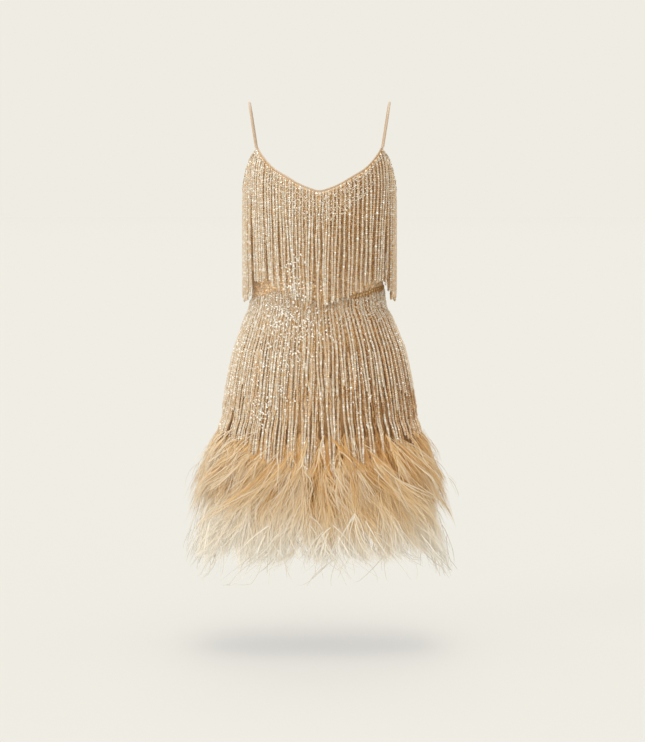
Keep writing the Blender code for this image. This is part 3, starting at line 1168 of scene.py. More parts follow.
@dataclass
class BeadCurtains:
    """Strands of beads hung from the neck, the armholes, the waist and the hip."""

    form: Form
    wardrobe: Wardrobe
    outer_bead: Bead = Bead(0.00235, 0.0068)
    inner_bead: Bead = Bead(0.0018, 0.0074, 4)
    spacing: float = 0.0078
    loose_spacing: float = 1.12
    fine_on_bodice: float = 0.80
    fine_on_hips: float = 0.96
    overlap: float = 0.50
    boldness: float = 0.14
    sway: float = 0.0030
    ripple: float = 0.0004
    strand_steps: int = 64
    ragged_front: float = 0.0032
    ragged_side: float = 0.0065
    upper_end: float = -0.545
    ragged_upper: float = 0.015
    lower_top: float = -0.464
    ragged_lower: float = 0.007
    seed: int = 1925

    def strand_angles(self, start: float, end: float, level: float, fine: float,
                      layer: Layer) -> np.ndarray:
        """Spaces strands along an edge, closer together on the wearer's right.

        Args:
            start: First angle in degrees.
            end: Last angle in degrees.
            level: Height at which they are spaced.
            fine: Spacing on the wearer's right, as a share of the usual one.
            layer: Inner strands hang between the outer ones.

        Returns:
            The angles in degrees.
        """
        turn = np.linspace(start, end, FINE_STEPS)
        path = self.form.point(np.radians(turn), np.full(turn.shape, level), 0.003)
        stride = np.linalg.norm(np.diff(path, axis=0), axis=1)
        middle = 0.5 * (path[1:, 0] + path[:-1, 0])
        front = path[1:, 1] < 0.0
        loose = np.where(front, ease(middle, 0.020, 0.055), 0.35)
        pitch = self.spacing * (fine + (self.loose_spacing - fine) * loose)
        passed = np.concatenate([[0.0], np.cumsum(stride / pitch)])
        count = int(round(passed[-1])) + 1
        even = np.interp(np.linspace(0.0, passed[-1], count), passed, turn)
        return even if layer is Layer.OUTER else 0.5 * (even[1:] + even[:-1])

    def tones(self, layer: Layer, x: float
              ) -> Callable[[int, np.random.Generator], np.ndarray]:
        """How the tones of one strand's beads are drawn.

        Args:
            layer: Outer strands are pale and bright, inner ones a darker dull gold: partly
                their own colour, partly painted shade in the gaps between the outer strands.
            x: Where the strand hangs: beads darken towards the wearer's left as painted
                shade on the side away from the key light, and the side curtains get painted
                light and shade.

        Returns:
            A function of the number of beads and the random source.
        """
        # Painted shade: beads grow darker towards +X, the side away from the key light.
        painted_side_shade = 0.15 * float(ease(x, -0.12, 0.11))
        # Painted light: the inner beads of the side curtains are lifted against the shade
        # behind them.
        side = 0.20 * float(ease(abs(x), 0.110, 0.128))
        # Painted shade: the outer beads of the side curtains are darker, more on +X.
        dull = (0.10 if x > 0.0 else 0.06) * float(ease(abs(x), 0.114, 0.126))

        def outer(count: int, draw: np.random.Generator) -> np.ndarray:
            """Tones of an outer strand's beads.

            Args:
                count: Number of beads.
                draw: The random source.

            Returns:
                One tone for each bead, a few of them much brighter.
            """
            base = draw.normal(0.75 - 0.6 * painted_side_shade - dull, 0.05)
            tone = draw.normal(base, 0.12, count)
            # A few beads are much paler: painted sparkle.
            bright = draw.random(count) < 0.05
            return np.clip(np.where(bright, tone + 0.2, tone), 0.2, 1.0)

        def inner(count: int, draw: np.random.Generator) -> np.ndarray:
            """Tones of an inner strand's beads."""
            tone = draw.normal(0.49 - 3.2 * painted_side_shade + side, 0.09, count)
            return np.clip(tone, 0.0, 0.78)

        return outer if layer is Layer.OUTER else inner

    def strand(self, pile: MeshPile, draw: np.random.Generator, layer: Layer,
               start: float, end: float, top: float, bottom: float,
               offset: Callable, draped: bool) -> None:
        """Hangs one strand.

        Args:
            pile: Receives the beads.
            draw: The random source.
            layer: Outer or inner strand.
            start: Angle in radians at its top.
            end: Angle in radians at its bottom.
            top: Height of its top.
            bottom: Height of its end.
            offset: Gives the distance from the cloth at a height.
            draped: Whether it hangs plumb off the bust.
        """
        z = np.linspace(top, bottom, self.strand_steps)
        share = (top - z) / (top - bottom)
        swing = draw.normal(0.0, self.sway) * share ** 2
        ripple = self.ripple * np.sin(share * draw.uniform(8, 16) + draw.uniform(0, 6.28))
        phi = (start + (end - start) * ease(share, 0.0, 0.75)
               + (swing + ripple) / MEAN_RADIUS)
        path = self.form.point(phi, z, offset(z) + draw.normal(0.0, 0.0003), draped)
        x = float(path[0, 0])
        bead = self.outer_bead if layer is Layer.OUTER else self.inner_bead
        bold = float(ease(x, 0.0, 0.05)) if draped else 1.0
        bead = replace(bead, radius=bead.radius * (1.0 + self.boldness * bold))
        string_beads(pile, path, bead, bead.length * self.overlap, self.tones(layer, x),
                     draw)

    def clumped(self, angles: np.ndarray, draw: np.random.Generator) -> np.ndarray:
        """Moves strands a little towards or away from their neighbours, unevenly."""
        gap = np.gradient(angles)
        return angles + gap * np.clip(draw.normal(0.0, 0.12, len(angles)), -0.35, 0.35)

    def bodice_part(self, name: str, start: float, end: float, low_start: float,
                    low_end: float) -> bpy.types.Object:
        """Hangs the strands between two angles of the top edge.

        Args:
            name: The piece's and its node's name.
            start: First angle at the top edge, in degrees.
            end: Last angle at the top edge.
            low_start: Where the first strand ends up at the bottom.
            low_end: Where the last one does.

        Returns:
            The curtain.
        """
        draw = np.random.default_rng(self.seed + len(name) * 7 + int(start) % 97)
        falls_in_front = name.endswith("_front")
        at_side = name.endswith(("_left", "_right"))
        ragged = self.ragged_side if at_side else self.ragged_front
        pile = MeshPile()
        for layer in Layer:
            even = self.strand_angles(start, end, -0.2, self.fine_on_bodice, layer)
            tops = np.clip(self.clumped(even, draw), start, end)
            share = np.clip((self.clumped(even, draw) - start) / (end - start), 0.0, 1.0)
            ends = low_start + (low_end - low_start) * share
            if falls_in_front:
                ends += 3.0 * (np.exp(-share / 0.07) - 0.7 * np.exp((share - 1.0) / 0.07))
            depth = 0.0030 if layer is Layer.OUTER else 0.0014
            lift = 0.0 if layer is Layer.OUTER else 0.003
            for high, low in zip(np.radians(tops), np.radians(ends)):
                top = float(self.form.top_edge(high)) - 0.0008
                bottom = float(self.form.fringe_end(low)) + lift
                bottom += draw.normal(0.0, ragged)
                self.strand(pile, draw, layer, high, low, top, bottom,
                            self.bodice_offset(depth, top, float(high)), True)
        return self.wardrobe.dress(pile.build(name), "bead_fringe", name)

    @staticmethod
    def bodice_offset(depth: float, top: float, phi: float) -> Callable:
        """How far from the plumb curtain a bodice strand hangs at each height.

        Args:
            depth: Its layer's usual distance.
            top: Height of its top.
            phi: Its angle in radians.

        Returns:
            A function of height.
        """
        middle = max(math.sin(phi), 0.0) ** 2

        def offset(z: np.ndarray) -> np.ndarray:
            """The distance at these heights."""
            rests = 0.009 * middle * ease(-z, 0.26, 0.37)
            return depth - 0.0012 * ease(z, top - 0.03, top) - rests

        return offset

    def hip_part(self, half: Half, upper: bool) -> bpy.types.Object:
        """Hangs one curtain on the hips.

        Args:
            half: Front or back.
            upper: The curtain from the waist seam, or the one that hangs below it.

        Returns:
            The curtain.
        """
        name = f"skirt_fringe_{'upper' if upper else 'lower'}_{half.value}"
        draw = np.random.default_rng(self.seed + 31 * (half is Half.BACK) + 77 * upper)
        pile = MeshPile()
        start = half.start + 0.4
        level = -0.46 if upper else -0.56
        for layer in Layer:
            outer = layer is Layer.OUTER
            even = self.strand_angles(start, start + 179.2, level, self.fine_on_hips, layer)
            tops, ends = self.clumped(even, draw), self.clumped(even, draw)
            for high, low in zip(np.radians(tops), np.radians(ends)):
                if upper:
                    plain = 1.0 - float(self.form.braid_bold(high))
                    top = float(self.form.waist(high)) - 0.003 + 0.0045 * plain
                    bottom = self.upper_end + draw.normal(0.0, self.ragged_upper)
                    bottom -= 0.0 if outer else 0.03
                else:
                    top = self.lower_top
                    bottom = float(self.form.hip_fringe_end(low))
                    bottom += draw.normal(0.0, self.ragged_lower)
                self.strand(pile, draw, layer, high, low, top, bottom,
                            self.hip_offset(upper, outer), False)
        return self.wardrobe.dress(pile.build(name), "bead_fringe", name)

    def hip_offset(self, upper: bool, outer: bool) -> Callable:
        """How far from the cloth a hip strand hangs at each height.

        Args:
            upper: Whether it is in the upper curtain.
            outer: Whether it is an outer strand.

        Returns:
            A function of height.
        """
        base = 0.0026 if outer else 0.0014

        def offset(z: np.ndarray) -> np.ndarray:
            """The distance at these heights.

            Args:
                z: Heights.

            Returns:
                Distances: the upper curtain hangs over the lower one's top.
            """
            if upper:
                return base + 0.0026 * ease(-z, 0.43, 0.47)
            return base + self.form.over_feathers(z) + 0.0025 * ease(-z, 0.59, 0.61)

        return offset

    def build(self) -> dict[str, bpy.types.Object]:
        """Makes every curtain.

        Returns:
            The curtains by node name.
        """
        parts = (
            # name, first and last angle at the edge, first and last angle at the ends
            ("bodice_fringe_front", APEX + 0.5, 180 - APEX - 0.5, 33.0, 147.5),
            ("bodice_fringe_back", 180.5 + APEX, 359.5 - APEX, 212.0, 328.0),
            ("bodice_fringe_left", -APEX + 0.5, APEX - 0.5, -26.0, 29.0),
            ("bodice_fringe_right", 180.5 - APEX, 179.5 + APEX, 152.5, 206.0),
        )
        made = {name: self.bodice_part(name, *angles) for name, *angles in parts}
        for half in Half:
            for tier in ("upper", "lower"):
                made[f"skirt_fringe_{tier}_{half.value}"] = self.hip_part(
                    half, tier == "upper")
        return made


# ---- loose sequins

@dataclass
class Sequins:
    """Flat sequins sewn over the waist, and pale sequins scattered on the fringe whose
    colour paints its glints.
    """

    form: Form
    wardrobe: Wardrobe
    radius: float = 0.0017
    sides: int = 6
    cup: float = 0.18
    on_waist: int = 5200
    in_netting: int = 5400
    seed: int = 77

    def discs(self, centres: np.ndarray, normals: np.ndarray, radius: np.ndarray
              ) -> tuple[np.ndarray, np.ndarray]:
        """Makes cupped discs.

        Args:
            centres: Middle of each disc.
            normals: The way each one faces.
            radius: Size of each one.

        Returns:
            Points and triangles.
        """
        side = unit(np.cross(normals, np.array([0.2, 0.3, 0.93])))
        other = np.cross(normals, side)
        turn = np.linspace(0.0, 2 * np.pi, self.sides, endpoint=False)
        rims = (centres[:, None] + radius[:, None, None] * (
            np.cos(turn)[None, :, None] * side[:, None]
            + np.sin(turn)[None, :, None] * other[:, None]
            + self.cup * normals[:, None]))
        points = np.concatenate([centres[:, None], rims], 1)
        i = np.arange(self.sides)
        fan = np.stack([np.zeros(self.sides, int), 1 + i, 1 + (i + 1) % self.sides], -1)
        faces = fan[None] + (np.arange(len(centres)) * (self.sides + 1))[:, None, None]
        return points.reshape(-1, 3), faces.reshape(-1, 3)

    def scatter(self, name: str, turn: np.ndarray, z: np.ndarray, offset: np.ndarray,
                tone: np.ndarray, size: np.ndarray, tilt: float,
                draped: np.ndarray) -> bpy.types.Object:
        """Places sequins at given angles and heights.

        Args:
            name: The piece's name.
            turn: Angles in degrees.
            z: Heights.
            offset: Distances from the cloth.
            tone: Tone of each one.
            size: Radius of each one.
            tilt: How far they lean, at random.
            draped: True for those that lie on the bodice fringe.

        Returns:
            The piece.
        """
        draw = np.random.default_rng(self.seed + len(name))
        phi = np.radians(turn)
        centres = np.where(draped[:, None], self.form.point(phi, z, offset, True),
                           self.form.point(phi, z, offset))
        normals = unit(self.form.outward(phi, z) + draw.normal(0.0, tilt, (len(z), 3)))
        points, faces = self.discs(centres, normals, size)
        piece = make_mesh(name, points, faces, np.repeat(tone, self.sides + 1))
        return self.wardrobe.dress(piece, "bead_fringe")

    def waist_sequins(self) -> bpy.types.Object:
        """Sews dull sequins over the part of the waist that shows.

        Returns:
            The sequins.
        """
        draw = np.random.default_rng(self.seed)
        count = self.on_waist
        turn = draw.uniform(0.0, 360.0, count)
        band = draw.uniform(0.0, 1.0, count)
        z = self.form.waist(np.radians(turn)) + 0.003 + band * 0.052
        tone = np.clip(draw.normal(0.46, 0.12, count), 0.1, 0.8)
        return self.scatter("waist_sequins", turn, z, np.full(count, 0.0007), tone,
                            np.full(count, self.radius), 0.22, np.zeros(count, bool))

    def netting(self) -> bpy.types.Object:
        """Fills the strands' tops under the neck and the waist with seed beads.

        Returns:
            The seed beads.
        """
        draw = np.random.default_rng(self.seed + 2)
        count = self.in_netting
        turn = draw.uniform(0.0, 360.0, count)
        depth = draw.uniform(0.0, 1.0, count)
        skirt = draw.random(count) < 0.43
        phi = np.radians(turn)
        middle = np.abs(np.sin(phi)) ** 3
        tall = np.where(skirt, 0.050 + 0.03 * (np.cos(phi) < 0.2), 0.012 + 0.045 * middle)
        plain = 1.0 - self.form.braid_bold(phi)
        top = np.where(skirt, self.form.waist(phi) - 0.006 + 0.006 * plain,
                       self.form.top_edge(phi) - 0.002)
        z = top - depth ** 1.5 * tall
        offset = np.where(skirt, 0.0042, 0.0036 + 0.0012 * ease(depth, 0.0, 0.4))
        tone = np.clip(draw.normal(0.78, 0.13, count), 0.3, 1.0)
        size = draw.uniform(0.0010, 0.0016, count)
        keep = skirt | (depth ** 1.5 * tall < 0.004)
        keep |= draw.random(count) < ease(np.abs(np.sin(phi)), 0.62, 0.90)
        turn, z, offset, tone, size, skirt = (
            values[keep] for values in (turn, z, offset, tone, size, skirt))
        return self.scatter("seed_netting", turn, z, offset, tone, size, 0.45, ~skirt)

    def sparks(self) -> bpy.types.Object:
        """Scatters near-white sequins in clusters on the fringe: real sequins whose pale
        colour is a painted highlight, clustered where the glints fall.

        Returns:
            The sequins.
        """
        draw = np.random.default_rng(self.seed + 1)
        groups = (
            # middle angle, spread, middle height, spread, how many, on the bodice
            (104.0, 6.0, -0.300, 0.018, 32, True),
            (103.0, 7.0, -0.345, 0.016, 55, True),
            (113.0, 8.0, -0.392, 0.018, 100, False),
            (96.0, 7.0, -0.424, 0.022, 110, False),
            (108.0, 6.0, -0.460, 0.022, 55, False),
            (122.0, 9.0, -0.440, 0.040, 80, False),
            (121.5, 4.5, -0.580, 0.016, 85, False),
            (112.0, 10.0, -0.520, 0.030, 45, False),
            (280.0, 30.0, -0.430, 0.040, 160, False),
            (60.0, 20.0, -0.500, 0.050, 30, False),
        )
        parts = []
        for angle, wide, height, tall, count, draped in groups:
            turn = draw.normal(angle, wide, count)
            z = draw.normal(height, tall, count)
            parts.append(np.stack([turn, z, np.full(count, float(draped))], -1))
        turn, z, draped = np.concatenate(parts).T
        draped = draped > 0.5
        phi = np.radians(turn)
        keep = np.where(draped, z > self.form.fringe_end(phi),
                        (z < self.form.waist(phi) - 0.004) & (z > -0.61))
        turn, z, draped = turn[keep], z[keep], draped[keep]
        doubled = ~draped & (z < -0.46) & (z > -0.556)
        offset = np.where(draped, 0.0050, 0.0052) + np.where(doubled, 0.0024, 0.0)
        # The near-white tone is a painted highlight.
        tone = np.clip(draw.normal(1.0, 0.08, len(z)), 0.7, 1.0)
        size = draw.uniform(0.0012, 0.0019, len(z))
        return self.scatter("fringe_sparks", turn, z, offset, tone, size, 0.35, draped)

    def build(self) -> list[bpy.types.Object]:
        """Makes every scatter."""
        return [self.waist_sequins(), self.netting(), self.sparks()]


# ---- feathers

@dataclass(frozen=True)
class PlumeKind:
    """How one sort of plume grows."""

    count: int
    barbs: int
    length: float
    reach: float
    sweep: float
    tone: float
    fade: float
    tone_spread: float
    gather: float = 0.0
    barb_spread: float = 0.06
    flare: float = 0.0
    girth: float = 1.0
    stray: float = 0.15
    hook: float = 0.10
    over: float = 0.0
    lift: float = 0.002
    loose: float = 0.05
    first: float = 0.0
    steps: int = 7


@dataclass(frozen=True)
class Quill:
    """The drooping shaft of one plume."""

    start: np.ndarray
    out: np.ndarray
    around: np.ndarray
    outer: float
    length: float
    reach: float
    lean: float
    hook: float
    flick: float

    def at(self, shares: np.ndarray) -> np.ndarray:
        """Finds points on it.

        Args:
            shares: Shares of its length, from the root.

        Returns:
            One point for each share.
        """
        t = np.asarray(shares)[..., None]
        fly = 1.0 - (1.0 - np.minimum(t, 1.0)) ** 2.6
        past = np.maximum(t - 0.75, 0.0)
        return (self.start
                + self.out * (self.reach * fly + self.flick * self.length * past ** 1.6)
                + self.around * self.length * (self.lean * t ** 1.15 + self.hook * t ** 3.0)
                - UP * self.length * t ** 1.12)


@dataclass
class FeatherTier:
    """One tier of ostrich plumes, sewn on a tape round the skirt."""

    form: Form
    wardrobe: Wardrobe
    name: str
    slot: str
    half: Half
    root: float
    root_spread: float
    kinds: tuple[PlumeKind, ...]
    seed: int
    width: float = 0.0012
    soft_hem: float = -0.830
    low_limit: float = -0.884
    wide: float = 0.208
    wide_limit: float = 0.271
    deep: float = 0.172
    deep_limit: float = 0.217

    def ribbons(self, spine: np.ndarray, side: np.ndarray, width: np.ndarray,
                tone: np.ndarray, pile: MeshPile) -> None:
        """Adds many thin tapering ribbons at once.

        Args:
            spine: Points of each barb, barbs first.
            side: Across direction at each point.
            width: Half width at each point.
            tone: Tone at each point.
            pile: Receives the ribbons.
        """
        barbs, steps = spine.shape[:2]
        left = spine[:, :-1] - side[:, :-1] * width[:, :-1, None]
        right = spine[:, :-1] + side[:, :-1] * width[:, :-1, None]
        points = np.concatenate([left, right, spine[:, -1:]], 1)
        last = steps - 1
        i = np.arange(last - 1)
        body = np.concatenate([
            np.stack([i, i + last, i + 1], -1),
            np.stack([i + 1, i + last, i + last + 1], -1),
            np.array([[last - 1, 2 * last - 1, 2 * last]])])
        each = 2 * last + 1
        faces = body[None] + (np.arange(barbs) * each)[:, None, None]
        tones = np.concatenate([tone[:, :-1], tone[:, :-1], tone[:, -1:]], 1)
        pile.add(points.reshape(-1, 3), faces.reshape(-1, 3), tones.reshape(-1))

    def quill(self, phi: float, kind: PlumeKind, draw: np.random.Generator) -> Quill:
        """Draws the shaft of one plume.

        Args:
            phi: Angle of its root, in radians.
            kind: How it grows.
            draw: The random source.

        Returns:
            The shaft: near the seams it sweeps outwards, to widen the outline.
        """
        at = np.array(phi)
        z0 = np.array(self.root + draw.uniform(-self.root_spread, self.root_spread))
        start = self.form.point(at, z0, kind.lift + draw.uniform(0.0, 0.003))
        out = self.form.outward(at, z0)
        around = np.cross(UP, out)
        outer = 1.0 if out[0] * around[0] > 0 else -1.0
        sideways = min(1.8 * abs(math.cos(phi)) ** 1.3 * abs(around[0]) ** 0.7, 1.0)
        lean = kind.sweep * outer * sideways + draw.normal(0.0, kind.stray)
        hook = draw.normal(kind.hook * outer * abs(around[0]), 1.3 * kind.stray)
        length = kind.length * draw.uniform(0.68, 1.10)
        reach = kind.reach * draw.uniform(0.55, 1.15) * (1.0 - 0.38 * out[0] ** 2)
        return Quill(start, out, around, outer, length, reach, lean, hook,
                     flick=draw.normal(0.08, kind.stray))

    def barbs(self, quill: Quill, kind: PlumeKind, wild: np.ndarray, at: np.ndarray,
              draw: np.random.Generator) -> tuple[np.ndarray, np.ndarray]:
        """Grows a plume's barbs.

        Args:
            quill: The plume's shaft.
            kind: How it grows.
            wild: True for each stray barb.
            at: Share of the shaft's length at which each barb leaves it.
            draw: The random source.

        Returns:
            The points of the barbs and how far each one splays.
        """
        count = kind.barbs
        u = np.linspace(0.0, 1.0, kind.steps)[None]
        size = (quill.length * (0.30 + 0.34 * draw.random(count))
                * np.where(wild, 1.25, 1.0))
        ahead = unit(quill.at(at + 0.04) - quill.at(at))
        which = np.where(draw.random(count) < 0.5, -1.0, 1.0)
        splay = which * np.abs(draw.normal(0.0, np.where(wild, 0.60, 0.42), count))
        turnback = draw.uniform(0.5, 1.5, count)
        curl = draw.normal(0.0, np.where(wild, 0.75, 0.45), count)
        flare = (kind.flare * quill.outer * abs(quill.around[0])
                 * draw.uniform(0.3, 1.3, count))
        puff = draw.normal(0.06, np.where(wild, 0.5, 0.22), count)
        weight = draw.uniform(0.05, 0.45, count)
        swing = (splay[:, None] * (1.0 - turnback[:, None] * u)
                 + curl[:, None] * u ** 2 + flare[:, None] * u ** 1.4)[..., None]
        rise = (puff[:, None] * (1.0 - 0.8 * u))[..., None]
        drop = (weight[:, None] * u)[..., None]
        heading = unit(ahead[:, None] + quill.around * swing + quill.out * rise
                       - UP * drop)
        stride = (size / (kind.steps - 1))[:, None, None]
        free = quill.at(at)[:, None] + np.concatenate([
            np.zeros((count, 1, 3)),
            np.cumsum((heading[:, 1:] + heading[:, :-1]) * 0.5, axis=1) * stride], 1)
        follow = quill.at(at[:, None] + size[:, None] * u / quill.length)
        tight = np.where(wild, 0.05, kind.gather * draw.uniform(0.5, 1.2, count))
        share = np.clip(tight[:, None] * u ** 1.4, 0.0, 0.95)[..., None]
        over = draw.random() < kind.over
        return self.confine(free * (1.0 - share) + follow * share, over, wild), splay

    def plume(self, pile: MeshPile, phi: float, kind: PlumeKind,
              draw: np.random.Generator) -> None:
        """Adds one plume: barbs that leave a drooping quill and hang together.

        Args:
            pile: Receives the ribbons.
            phi: Angle of its root, in radians.
            kind: How it grows.
            draw: The random source.
        """
        quill = self.quill(phi, kind, draw)
        x, root = quill.start[0], quill.start[2]
        # Painted light and shade by side: plumes are lighter towards -X, the key light's
        # side, and darker between the middle and +X.
        shade = float(0.12 * ease(x, -0.05, 0.02) - 0.12 * ease(x, 0.12, 0.19)
                      - 0.26 * ease(-x, 0.07, 0.17))
        own_tone = draw.normal(kind.tone - shade, kind.tone_spread)
        count = kind.barbs
        at = draw.uniform(kind.first, 0.74, count) ** 0.9
        wild = draw.random(count) < kind.loose
        spine, splay = self.barbs(quill, kind, wild, at, draw)
        along = unit(np.gradient(spine, axis=1))
        facing = unit(quill.out[None, None] + draw.normal(0.0, 0.28, (count, 1, 3)))
        side = unit(np.cross(along, np.broadcast_to(facing, along.shape)))
        u = np.linspace(0.0, 1.0, kind.steps)[None]
        taper = np.sqrt(np.clip(1.0 - u, 0.0, 1.0)) * 0.9 + 0.1
        girth = kind.girth * np.where(wild, 0.75, 1.0) * draw.uniform(0.7, 1.3, count)
        fall = np.clip((root - spine[..., 2]) / kind.length, 0.0, 1.4)
        own = (np.where(wild, 0.12, 0.0) + 0.14 * np.minimum(np.abs(splay), 1.0)
               + draw.normal(0.0, kind.barb_spread, count))
        tone = np.clip(own_tone + kind.fade * ease(fall, 0.05, 0.95) + u * 0.10
                       + own[:, None], 0.0, 0.80)
        thin = np.maximum(ease(-spine[..., 2], 0.800, 0.850),
                          ease(np.abs(spine[..., 0]), 0.222, 0.252))
        tone = tone + (1.0 - tone) * thin * np.where(wild, 1.0, 0.12)[:, None]
        self.ribbons(spine, side, self.width / 2 * taper * girth[:, None], tone, pile)

    def confine(self, spine: np.ndarray, over: bool, wild: np.ndarray) -> np.ndarray:
        """Keeps barbs under the strands of beads and within the dress's outline.

        Args:
            spine: Points of the barbs.
            over: Lets this plume lie over the strands.
            wild: True for each stray barb: it may hang lower.

        Returns:
            The moved points.
        """
        spine = spine.copy()
        if not over:
            phi, distance = self.form.locate(spine)
            z = spine[..., 2]
            end = self.form.hip_fringe_end(phi)
            under = 0.0016 + self.form.over_feathers(z)
            free = under + 0.2 * ease(end - z, -0.016, 0.055)
            excess = np.maximum(distance - free, 0.0)[..., None]
            spine = spine - self.form.outward(phi, z) * excess
        for axis, wide, limit in ((0, self.wide, self.wide_limit),
                                  (1, self.deep, self.deep_limit)):
            far = np.abs(spine[..., axis]) - wide
            give = np.where(wild, 0.85, 0.50)[:, None]
            span = limit - wide
            squeezed = limit - span * np.exp(-give * np.maximum(far, 0.0) / span)
            spine[..., axis] = np.where(far > 0.0, np.sign(spine[..., axis]) * squeezed,
                                        spine[..., axis])
        deep = self.soft_hem - spine[..., 2]
        give = np.where(wild, 0.65, 0.42)[:, None]
        spine[..., 2] = np.where(deep > 0.0, self.soft_hem - give * deep, spine[..., 2])
        spine[..., 2] = np.maximum(spine[..., 2], self.low_limit)
        return spine

    def build(self) -> bpy.types.Object:
        """Makes the tier as one joined mesh.

        Returns:
            The tier.
        """
        draw = np.random.default_rng(self.seed)
        pile = MeshPile()
        start = self.half.start
        for kind in self.kinds:
            even = self.form.even_angles(start + 1.0, start + 179.0, kind.count, self.root)
            jitter = draw.normal(0.0, 0.35, kind.count) * 178.0 / kind.count
            for angle in np.clip(even + jitter, start + 0.3, start + 179.7):
                self.plume(pile, math.radians(float(angle)), kind, draw)
        node = f"feathers_{self.name}_{self.half.value}"
        return self.wardrobe.dress(pile.build(node, smooth=True), self.slot, node)


# ---- studio

@dataclass(frozen=True)
class Sun:
    """A soft lamp so far away that it lights everything alike."""

    name: str
    across: float
    height: float
    strength: float
    softness: float
    colour: Colour

    def place(self) -> None:
        """Adds the lamp.

        Its light comes from "across" degrees to the right of the front and from
        "height" degrees above the floor.
        """
        data = bpy.data.lights.new(self.name, "SUN")
        data.energy = self.strength
        data.angle = math.radians(self.softness)
        data.color = self.colour
        side, rise = math.radians(self.across), math.radians(self.height)
        source = Vector((math.sin(side) * math.cos(rise), -math.cos(side) * math.cos(rise),
                         math.sin(rise)))
        lamp = bpy.data.objects.new(self.name, data)
        lamp.rotation_euler = source.to_track_quat("Z", "Y").to_euler()
        bpy.context.scene.collection.objects.link(lamp)


@dataclass
class Studio:
    """Pale floor and backdrop, soft lights and the camera."""

    floor: float = -1.023
    aim: tuple[float, float, float] = (0.0056, 0.0, -0.5057)
    distance: float = 5.23
    rise: float = 0.36
    lens: float = 135.0
    radius: float = 60.0
    sides: int = 64
    wall_height: float = 16.0

    def paper(self) -> None:
        """Makes a wide round floor and the even wall round it."""
        spokes = self.sides + 1
        turn = np.linspace(0.0, 2 * np.pi, spokes)
        ring = np.stack([np.cos(turn), np.sin(turn)], -1) * self.radius
        shares = (0.002, 0.01, 0.05, 0.2, 1.0)
        rings = [np.concatenate([ring * share, np.full((spokes, 1), self.floor)], -1)
                 for share in shares]
        flat = np.stack(rings, 1).reshape(-1, 3)
        middle = np.array([[0.0, 0.0, self.floor]])
        i = np.arange(self.sides)
        inner = np.stack([np.full(self.sides, len(flat)), i * len(shares),
                          (i + 1) * len(shares)], -1)
        faces = np.concatenate([grid_triangles(spokes, len(shares)), inner])
        floor = make_mesh("studio_floor", np.concatenate([flat, middle]), faces)
        floor.data.materials.append(StudioFinish(
            "studio_floor", (0.270, 0.257, 0.212), (0.4700, 0.477, 0.489)).material())
        rows = [np.concatenate([ring, np.full((spokes, 1), z)], -1)
                for z in (self.floor, self.wall_height)]
        wall = make_mesh("studio_wall", np.stack(rows, 1).reshape(-1, 3),
                         grid_triangles(spokes, len(rows)))
        wall.data.materials.append(StudioFinish(
            "studio_wall", BLACK, (0.863, 0.839, 0.768)).material())
        wall.visible_shadow = False

    def lights(self) -> None:
        """Adds the lamps and the light of the room."""
        warm = (1.0, 0.965, 0.90)
        for lamp in (Sun("key", -50.0, 10.0, 1.35, 26.0, warm),
                     Sun("front", 8.0, 10.0, 0.40, 50.0, warm),
                     Sun("top_middle", 0.0, 90.0, 0.48, 26.0, warm),
                     Sun("top_front", 0.0, 70.0, 0.46, 26.0, warm),
                     Sun("top_back", 180.0, 58.0, 0.58, 26.0, warm)):
            lamp.place()
        world = bpy.data.worlds.new("studio")
        world.use_nodes = True
        backing = world.node_tree.nodes["Background"]
        backing.inputs["Color"].default_value = (1.0, 0.975, 0.915, 1.0)
        backing.inputs["Strength"].default_value = 0.95
        bpy.context.scene.world = world

    def camera(self) -> None:
        """Places the camera straight in front and a little above the middle."""
        data = bpy.data.cameras.new("camera")
        data.lens = self.lens
        data.sensor_width = 36.0
        data.clip_end = 500.0
        viewer = bpy.data.objects.new("camera", data)
        eye = Vector(self.aim) + Vector((0.0, -self.distance, self.rise))
        viewer.location = eye
        viewer.rotation_euler = (eye - Vector(self.aim)).to_track_quat("Z", "Y").to_euler()
        scene = bpy.context.scene
        scene.collection.objects.link(viewer)
        scene.camera = viewer
        scene.view_settings.view_transform = "Standard"
        scene.view_settings.look = "None"

    def build(self) -> None:
        """Sets up the studio."""
        self.paper()
        self.lights()
        self.camera()


# ---- the whole dress


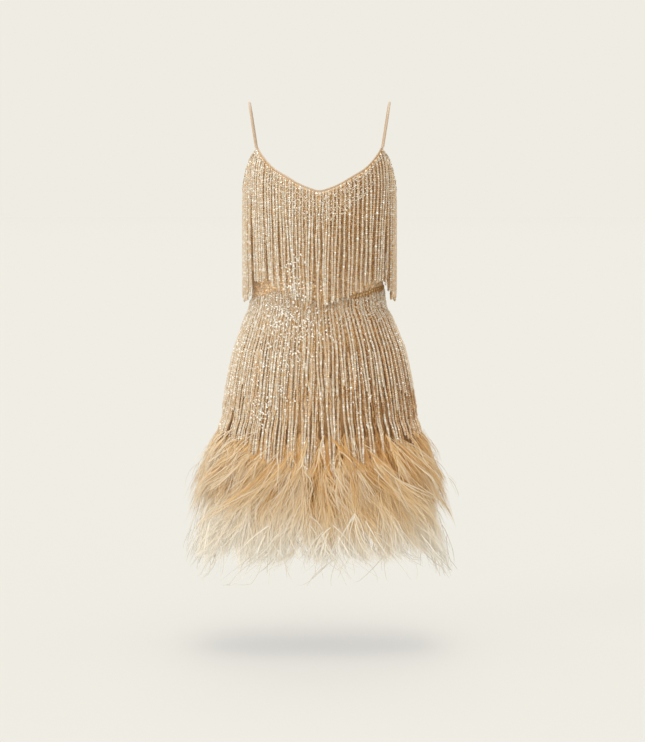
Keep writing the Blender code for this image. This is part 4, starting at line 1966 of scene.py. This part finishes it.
def feather_tiers(form: Form, wardrobe: Wardrobe) -> dict[str, bpy.types.Object]:
    """Makes both tiers, front and back.

    Args:
        form: The dress's form.
        wardrobe: Hands out the finishes.

    Returns:
        The tiers by node name.
    """
    # In both tiers the kinds that lie deeper come first and have lower tones: painted shade
    # under the outer plumes.
    upper_kinds = (
        # count, barbs, length, reach, sweep, tone, fade, spread of tone
        PlumeKind(60, 90, 0.118, 0.024, 0.35, 0.04, 0.16, 0.08, gather=0.10,
                  barb_spread=0.12, girth=0.85, stray=0.22, steps=5),
        PlumeKind(40, 82, 0.134, 0.038, 0.65, 0.20, 0.34, 0.10, gather=0.50,
                  girth=0.70, stray=0.26, hook=0.30, over=0.3),
        PlumeKind(52, 20, 0.132, 0.042, 0.60, 0.46, 0.30, 0.08, gather=0.15,
                  barb_spread=0.12, flare=0.60, girth=1.15, stray=0.28, hook=0.35,
                  over=0.3, lift=0.006, steps=8),
        PlumeKind(22, 4, 0.112, 0.052, 0.80, 0.70, 0.20, 0.06, flare=0.50, girth=1.5,
                  stray=0.35, hook=0.35, over=1.0, lift=0.008, loose=1.0, steps=9),
    )
    lower_kinds = (
        PlumeKind(90, 70, 0.134, 0.034, 0.26, 0.10, 0.70, 0.015, barb_spread=0.05,
                  girth=0.85, stray=0.10, steps=5),
        PlumeKind(76, 56, 0.150, 0.046, 0.38, 0.22, 0.64, 0.03, gather=0.10,
                  barb_spread=0.05, girth=0.55, stray=0.16, steps=6),
        PlumeKind(44, 20, 0.156, 0.050, 0.45, 0.34, 0.48, 0.05, gather=0.05,
                  flare=0.35, girth=0.80, stray=0.24, hook=0.15, lift=0.005, steps=8),
        PlumeKind(46, 6, 0.168, 0.054, 0.42, 0.64, 0.12, 0.03, flare=0.22, girth=1.7,
                  stray=0.26, hook=0.12, lift=0.005, loose=1.0, first=0.45, steps=9),
    )
    made = {}
    for half in Half:
        other_seed = int(half is Half.BACK)
        tiers = (
            # name, slot, half, height of the roots, their spread, kinds, seed
            FeatherTier(form, wardrobe, "upper", "plume", half, -0.620, 0.016,
                        upper_kinds, 501 + other_seed),
            FeatherTier(form, wardrobe, "lower", "down", half, -0.706, 0.022,
                        lower_kinds, 601 + other_seed, width=0.0013),
        )
        for tier in tiers:
            made[f"feathers_{tier.name}_{half.value}"] = tier.build()
    return made


def main() -> None:
    """Builds the dress and its studio."""
    logging.basicConfig(level=logging.INFO, format="%(name)s %(message)s")
    form = Form()
    plume = PlumeFinish("ostrich_plume", (0.540, 0.285, 0.088), (0.590, 0.415, 0.215),
                        (0.605, 0.525, 0.410), "plume")
    down = PlumeFinish("ostrich_down", (0.540, 0.325, 0.125), (0.590, 0.455, 0.280),
                       (0.655, 0.620, 0.550), "down", painted_glow=0.18)
    finishes = (SequinClothFinish(), SatinFinish(), BraidFinish(), BeadFinish(), plume,
                down)
    wardrobe = Wardrobe({finish.slot: finish.material() for finish in finishes})
    Studio().build()
    panels = BaseCloth(form, wardrobe).build()
    trims = Trimmings(form, wardrobe).build()
    trims.update(BeadCurtains(form, wardrobe).build())
    trims.update(feather_tiers(form, wardrobe))
    Sequins(form, wardrobe).build()


if __name__ == "__main__":
    main()
